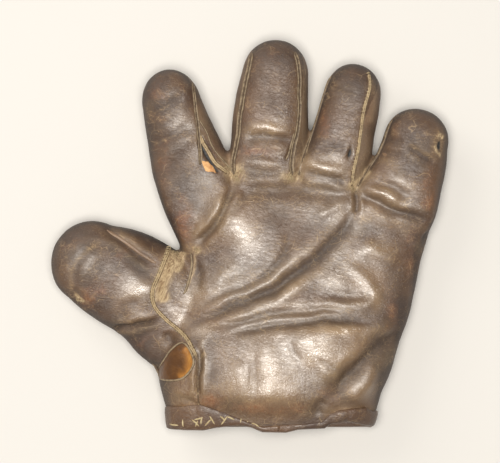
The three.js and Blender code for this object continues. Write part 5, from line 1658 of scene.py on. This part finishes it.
def wrist_stations(first, last):
    """Places round the wrist: on its edge and on the line of the hem, with normals."""
    angles = np.radians(np.linspace(first, last, HEM_STATIONS))
    edge_line, hem_line = place(WRIST_EDGE), place(HEM_LINE)
    edge, band = [], []
    for angle in angles:
        front = ramp(math.cos(angle), -0.1, 0.25)
        for line, behind, found in ((edge_line, WRIST_EDGE_BACK, edge), (hem_line, HEM_LINE_BACK, band)):
            y = place((0, behind))[1]
            for _ in range(3):
                share = (y - WRIST_PLANE) / PALM_LENGTH
                point = palm_ring(share, np.array([angle]))[0]
                in_front = np.interp(point[0], line[:, 0], line[:, 1])
                y = front * in_front + (1 - front) * place((0, behind))[1]
            found.append(point)
    edge, band = np.array(edge), np.array(band)
    band[:, 0] += (edge[:, 0] - band[:, 0]) * ramp(-np.cos(angles), 0.6, 0.9)
    edge_on, _ = nearest_on(whole, edge)
    band_on, normals = nearest_on(skin, band)
    edge_on[:, 1] = edge[:, 1]
    return edge_on, band_on, unit(blurred(normals, 3)), angles


def lining_depth(points):
    """Distance from the outside of the glove to the inside of its lining."""
    return np.array([lining.find_nearest(Vector(p))[3] for p in points]) + LINING + GAP


def wrist_strip(name, first, last, node, side):
    """The hem of one side, folded over the wrist edge and ending at the slit."""
    edge, band, normals, angles = wrist_stations(first, last)
    beside_slit = (edge[:, 0] - SLIT_PLACE) * side > SLIT_WIDTH / 2
    kept = beside_slit | (np.cos(angles) > 0)
    edge, band, normals, angles = edge[kept], band[kept], normals[kept], angles[kept]
    front = ramp(np.cos(angles), -0.2, 0.4)
    walls = np.stack([lining_depth(edge), lining_depth(band)], 1)
    roll = front * ramp(edge[:, 0], *(place((column, 0))[0] for column in HEM_ROLL))
    puffs = sum((height * noise(edge, size, seed) for size, height, seed in HEM_WAVES), 1) + ROLL_PUFF * roll
    strip = folded_strip(name, edge, band, normals, walls, puffs)
    return finished(strip, leather, "glove", nodes=[node])


thumb_hem = wrist_strip("wrist_binding_thumb_side_fold", -HEM_TURN, HEM_JOIN, "wrist_binding_thumb_side", -1)
wrist_strip("wrist_binding_little_side_fold", HEM_JOIN, HEM_TURN, "wrist_binding_little_side", 1)

slit_path = smooth_path(slit_outline()[1:-1], SEAM_STEP)
slit_foot = wrist_line(np.array([[SLIT_PLACE, 0, 0]]))[0] + 2
lower = [[slit_path[0, 0], y] for y in np.arange(slit_foot, slit_path[0, 1], MARK_STEP)]
upper = [[slit_path[-1, 0], y] for y in np.arange(slit_foot, slit_path[-1, 1], MARK_STEP)][::-1]
slit_plan = np.concatenate([lower, slit_path, upper])
tangent = unit(np.gradient(slit_plan, axis=0))
outward_plan = np.stack([tangent[:, 1], -tangent[:, 0]], 1)
slit_edge, slit_normals = on_back(whole, slit_plan)
slit_band, _ = on_back(whole, slit_plan + SLIT_BAND * outward_plan)
# The fold is flat at its foot, where the hem covers it
slit_puffs = 1 - 0.6 * ramp(-slit_plan[:, 1], -slit_foot - 9, -slit_foot - 7)
slit_walls = np.stack([lining_depth(slit_edge), lining_depth(slit_band)], 1)
slit_normals = unit(blurred(slit_normals, 4))
slit_fold = folded_strip("slit_binding_fold", slit_edge, slit_band, slit_normals, slit_walls, slit_puffs,
                         SLIT_REACH)
finished(slit_fold, leather, "glove", nodes=["slit_binding"])

# Lacing on the hem of the thumb side

LACING_RADIUS = 0.48
LACING_STEP = 0.6
hem_tree = tree_of(points_of(thumb_hem.data), quads_of(thumb_hem.data))
strokes = []
for pixels in LACING:
    points, ups = on_front(hem_tree, smooth_path(place(pixels), LACING_STEP))
    in_front = points[:, 2] > SEAM_PLANE
    points, ups = points[in_front], ups[in_front]
    path = (blurred(points, 2), unit(blurred(ups, 8)))
    strokes.append(swept("lacing", path, round_profile(LACING_RADIUS), wander=0.15))
finished(merge_pieces("hem_lacing_thread", strokes), thread, "glove", nodes=["hem_lacing"])

# Strap and button on the back of the wrist

# Powers of the strap's rounded section, across it and through it
STRAP_SQUARENESS = 0.35
STRAP_FLATNESS = 0.7


def strap_piece(name, first, last, rounded, node, body):
    radius = STRAP_WIDTH / 2
    rings = []
    for x in np.linspace(first, last, STRAP_SECTIONS):
        from_end = last - x
        half = radius
        if rounded and from_end < radius:
            half = math.sqrt(max(radius**2 - (radius - from_end) ** 2, 0.2))
        angles = full_turn(STRAP_SIDES)
        c, s = np.cos(angles), np.sin(angles)
        y = STRAP_PLACE + half * np.sign(c) * np.abs(c) ** STRAP_SQUARENESS
        lift = STRAP_THICKNESS / 2 * np.sign(s) * np.abs(s) ** STRAP_FLATNESS
        column = np.full(len(y), x)
        surface, _ = on_back(whole, np.stack([column, np.clip(y, STRAP_LOW, None)], 1))
        height = surface[:, 2] - STRAP_CLEARANCE - STRAP_THICKNESS / 2 - lift
        rings.append(np.stack([column, y, height], 1))
    points, faces = closed_tube(rings)
    piece = mesh_object(name, points, outward(points, faces))
    return finished(piece, leather, body, nodes=[node])


def turned(name, profile, centre, finish, body, node):
    """A turned piece from a profile of radius and depth below a point."""
    rings = [np.array([[centre[0] + r * math.cos(a), centre[1] + r * math.sin(a), centre[2] - d]
                       for a in full_turn(TURNED_SIDES)]) for r, d in profile]
    points, faces = closed_tube(rings)
    return finished(mesh_object(name, points, outward(points, faces)), finish, body, nodes=[node])


strap_piece("wrist_strap_sheet", STRAP_LEFT, STRAP_RIGHT, True, "wrist_strap", "strap")
anchor_right = STRAP_LEFT - GAP
strap_piece("strap_anchor_sheet", anchor_right - ANCHOR_LENGTH, anchor_right, False, "strap_anchor", "glove")

# Profiles of the turned pieces: radius, and distance out from the strap or from the leather
CAP_PROFILE = [
    (3.2, 0), (5.6, 0), (BUTTON_RADIUS, 0.25), (BUTTON_RADIUS, 0.6), (5.6, 0.85), (5.2, 0.8), (4.9, 1.0),
    (4.4, 1.4), (3.4, 1.75), (2.0, 1.95), (0.9, 2.0), (0.2, 2.0),
]
STUD_PROFILE = [
    (1.0, 0.2), (4.2, 0.2), (4.4, 0.4), (4.4, 0.9), (4.0, 1.1), (2.0, 1.15), (1.8, 1.4), (1.8, 4.4),
    (1.0, 4.5),
]
button_base = on_back(whole, [(BUTTON_PLACE, STRAP_PLACE)])[0][0]
cap_start = STRAP_CLEARANCE + STRAP_THICKNESS + CAP_CLEARANCE
cap_profile = [(radius, cap_start + height) for radius, height in CAP_PROFILE]
turned("button_cap_brass", cap_profile, button_base, brass, "strap", "button_cap")
turned("strap_stud_brass", STUD_PROFILE, button_base, brass, "glove", "strap_stud")

# Torn place in the seam of the index finger

PATCH_ROWS = 16
PATCH_COLUMNS = 12
PATCH_THICKNESS = 0.9
PATCH_LIFT = 0.55
PATCH_WAVES = 0.45
patch_plan = place(TORN_LINING)
rows, columns = np.meshgrid(np.linspace(0, 1, PATCH_ROWS), np.linspace(0, 1, PATCH_COLUMNS), indexing="ij")
grid = np.stack([rows, columns], -1).reshape(-1, 2)
a, b, c, d = patch_plan
flat = ((1 - grid[:, :1]) * (1 - grid[:, 1:]) * a + grid[:, :1] * (1 - grid[:, 1:]) * b
        + grid[:, :1] * grid[:, 1:] * c + (1 - grid[:, :1]) * grid[:, 1:] * d)
flat = flat + 0.5 * np.stack([noise(flat, 2.2, 31), noise(flat, 2.2, 32)], 1)
top, top_normals = on_front(skin, flat)
top = top + top_normals * (PATCH_LIFT + PATCH_WAVES * noise(flat, 2.6, 33))[:, None]
patch_faces = tube_faces(PATCH_ROWS, PATCH_COLUMNS, closed=False)
scrap = leather_piece("torn_lining_scrap", top, top_normals, patch_faces, PATCH_THICKNESS, {})
finished(scrap, peach_lining, "glove", "index")

# Setting

# Lamps: place in metres, size and power
LAMPS = {"front_light": ((-0.05, 0.0, 1.75), 0.6, 32), "side_light": ((-0.9, 0.9, 1.0), 1.0, 7)}
LAMP_TARGET = Vector((0, 0.03, 0))
LAMP_COLOUR = (1, 0.955, 0.89)
WORLD_STRENGTH = 0.18
FLOOR_HALF = 3000
CAMERA_HEIGHT = 1500
CAMERA_REACH = 20
SENSOR = 36


def soft_lamp(name, place_m, size, power):
    lamp = bpy.data.lights.new(name, "AREA")
    lamp.color = LAMP_COLOUR
    lamp.shape = "SQUARE"
    lamp.size = size
    lamp.energy = power
    piece = bpy.data.objects.new(name, lamp)
    piece.location = place_m
    piece.rotation_euler = (LAMP_TARGET - Vector(place_m)).to_track_quat("-Z", "Y").to_euler()
    bpy.context.scene.collection.objects.link(piece)


camera = bpy.data.cameras.new("camera")
camera.sensor_width = SENSOR
camera.lens = SENSOR * (CAMERA_HEIGHT - SEAM_PLANE) / (PHOTO_WIDTH * PIXEL)
camera.clip_end = CAMERA_REACH
eye = bpy.data.objects.new("camera", camera)
centre = place((PHOTO_WIDTH / 2, PHOTO_HEIGHT / 2))
eye.location = (centre[0] * METRE, centre[1] * METRE, CAMERA_HEIGHT * METRE)
bpy.context.scene.collection.objects.link(eye)
bpy.context.scene.camera = eye

floor_corners = [(x * FLOOR_HALF, y * FLOOR_HALF, 0) for x, y in ((-1, -1), (1, -1), (1, 1), (-1, 1))]
floor = mesh_object("floor", floor_corners, [(0, 1, 2, 3)])
floor.data.materials.append(floor_finish())

for name, (place_m, size, power) in LAMPS.items():
    soft_lamp(name, place_m, size, power)
world = bpy.data.worlds.new("studio")
world.use_nodes = True
background = world.node_tree.nodes["Background"]
background.inputs["Color"].default_value = (1, 1, 1, 1)
background.inputs["Strength"].default_value = WORLD_STRENGTH
bpy.context.scene.world = world
bpy.context.scene.view_settings.view_transform = "Standard"
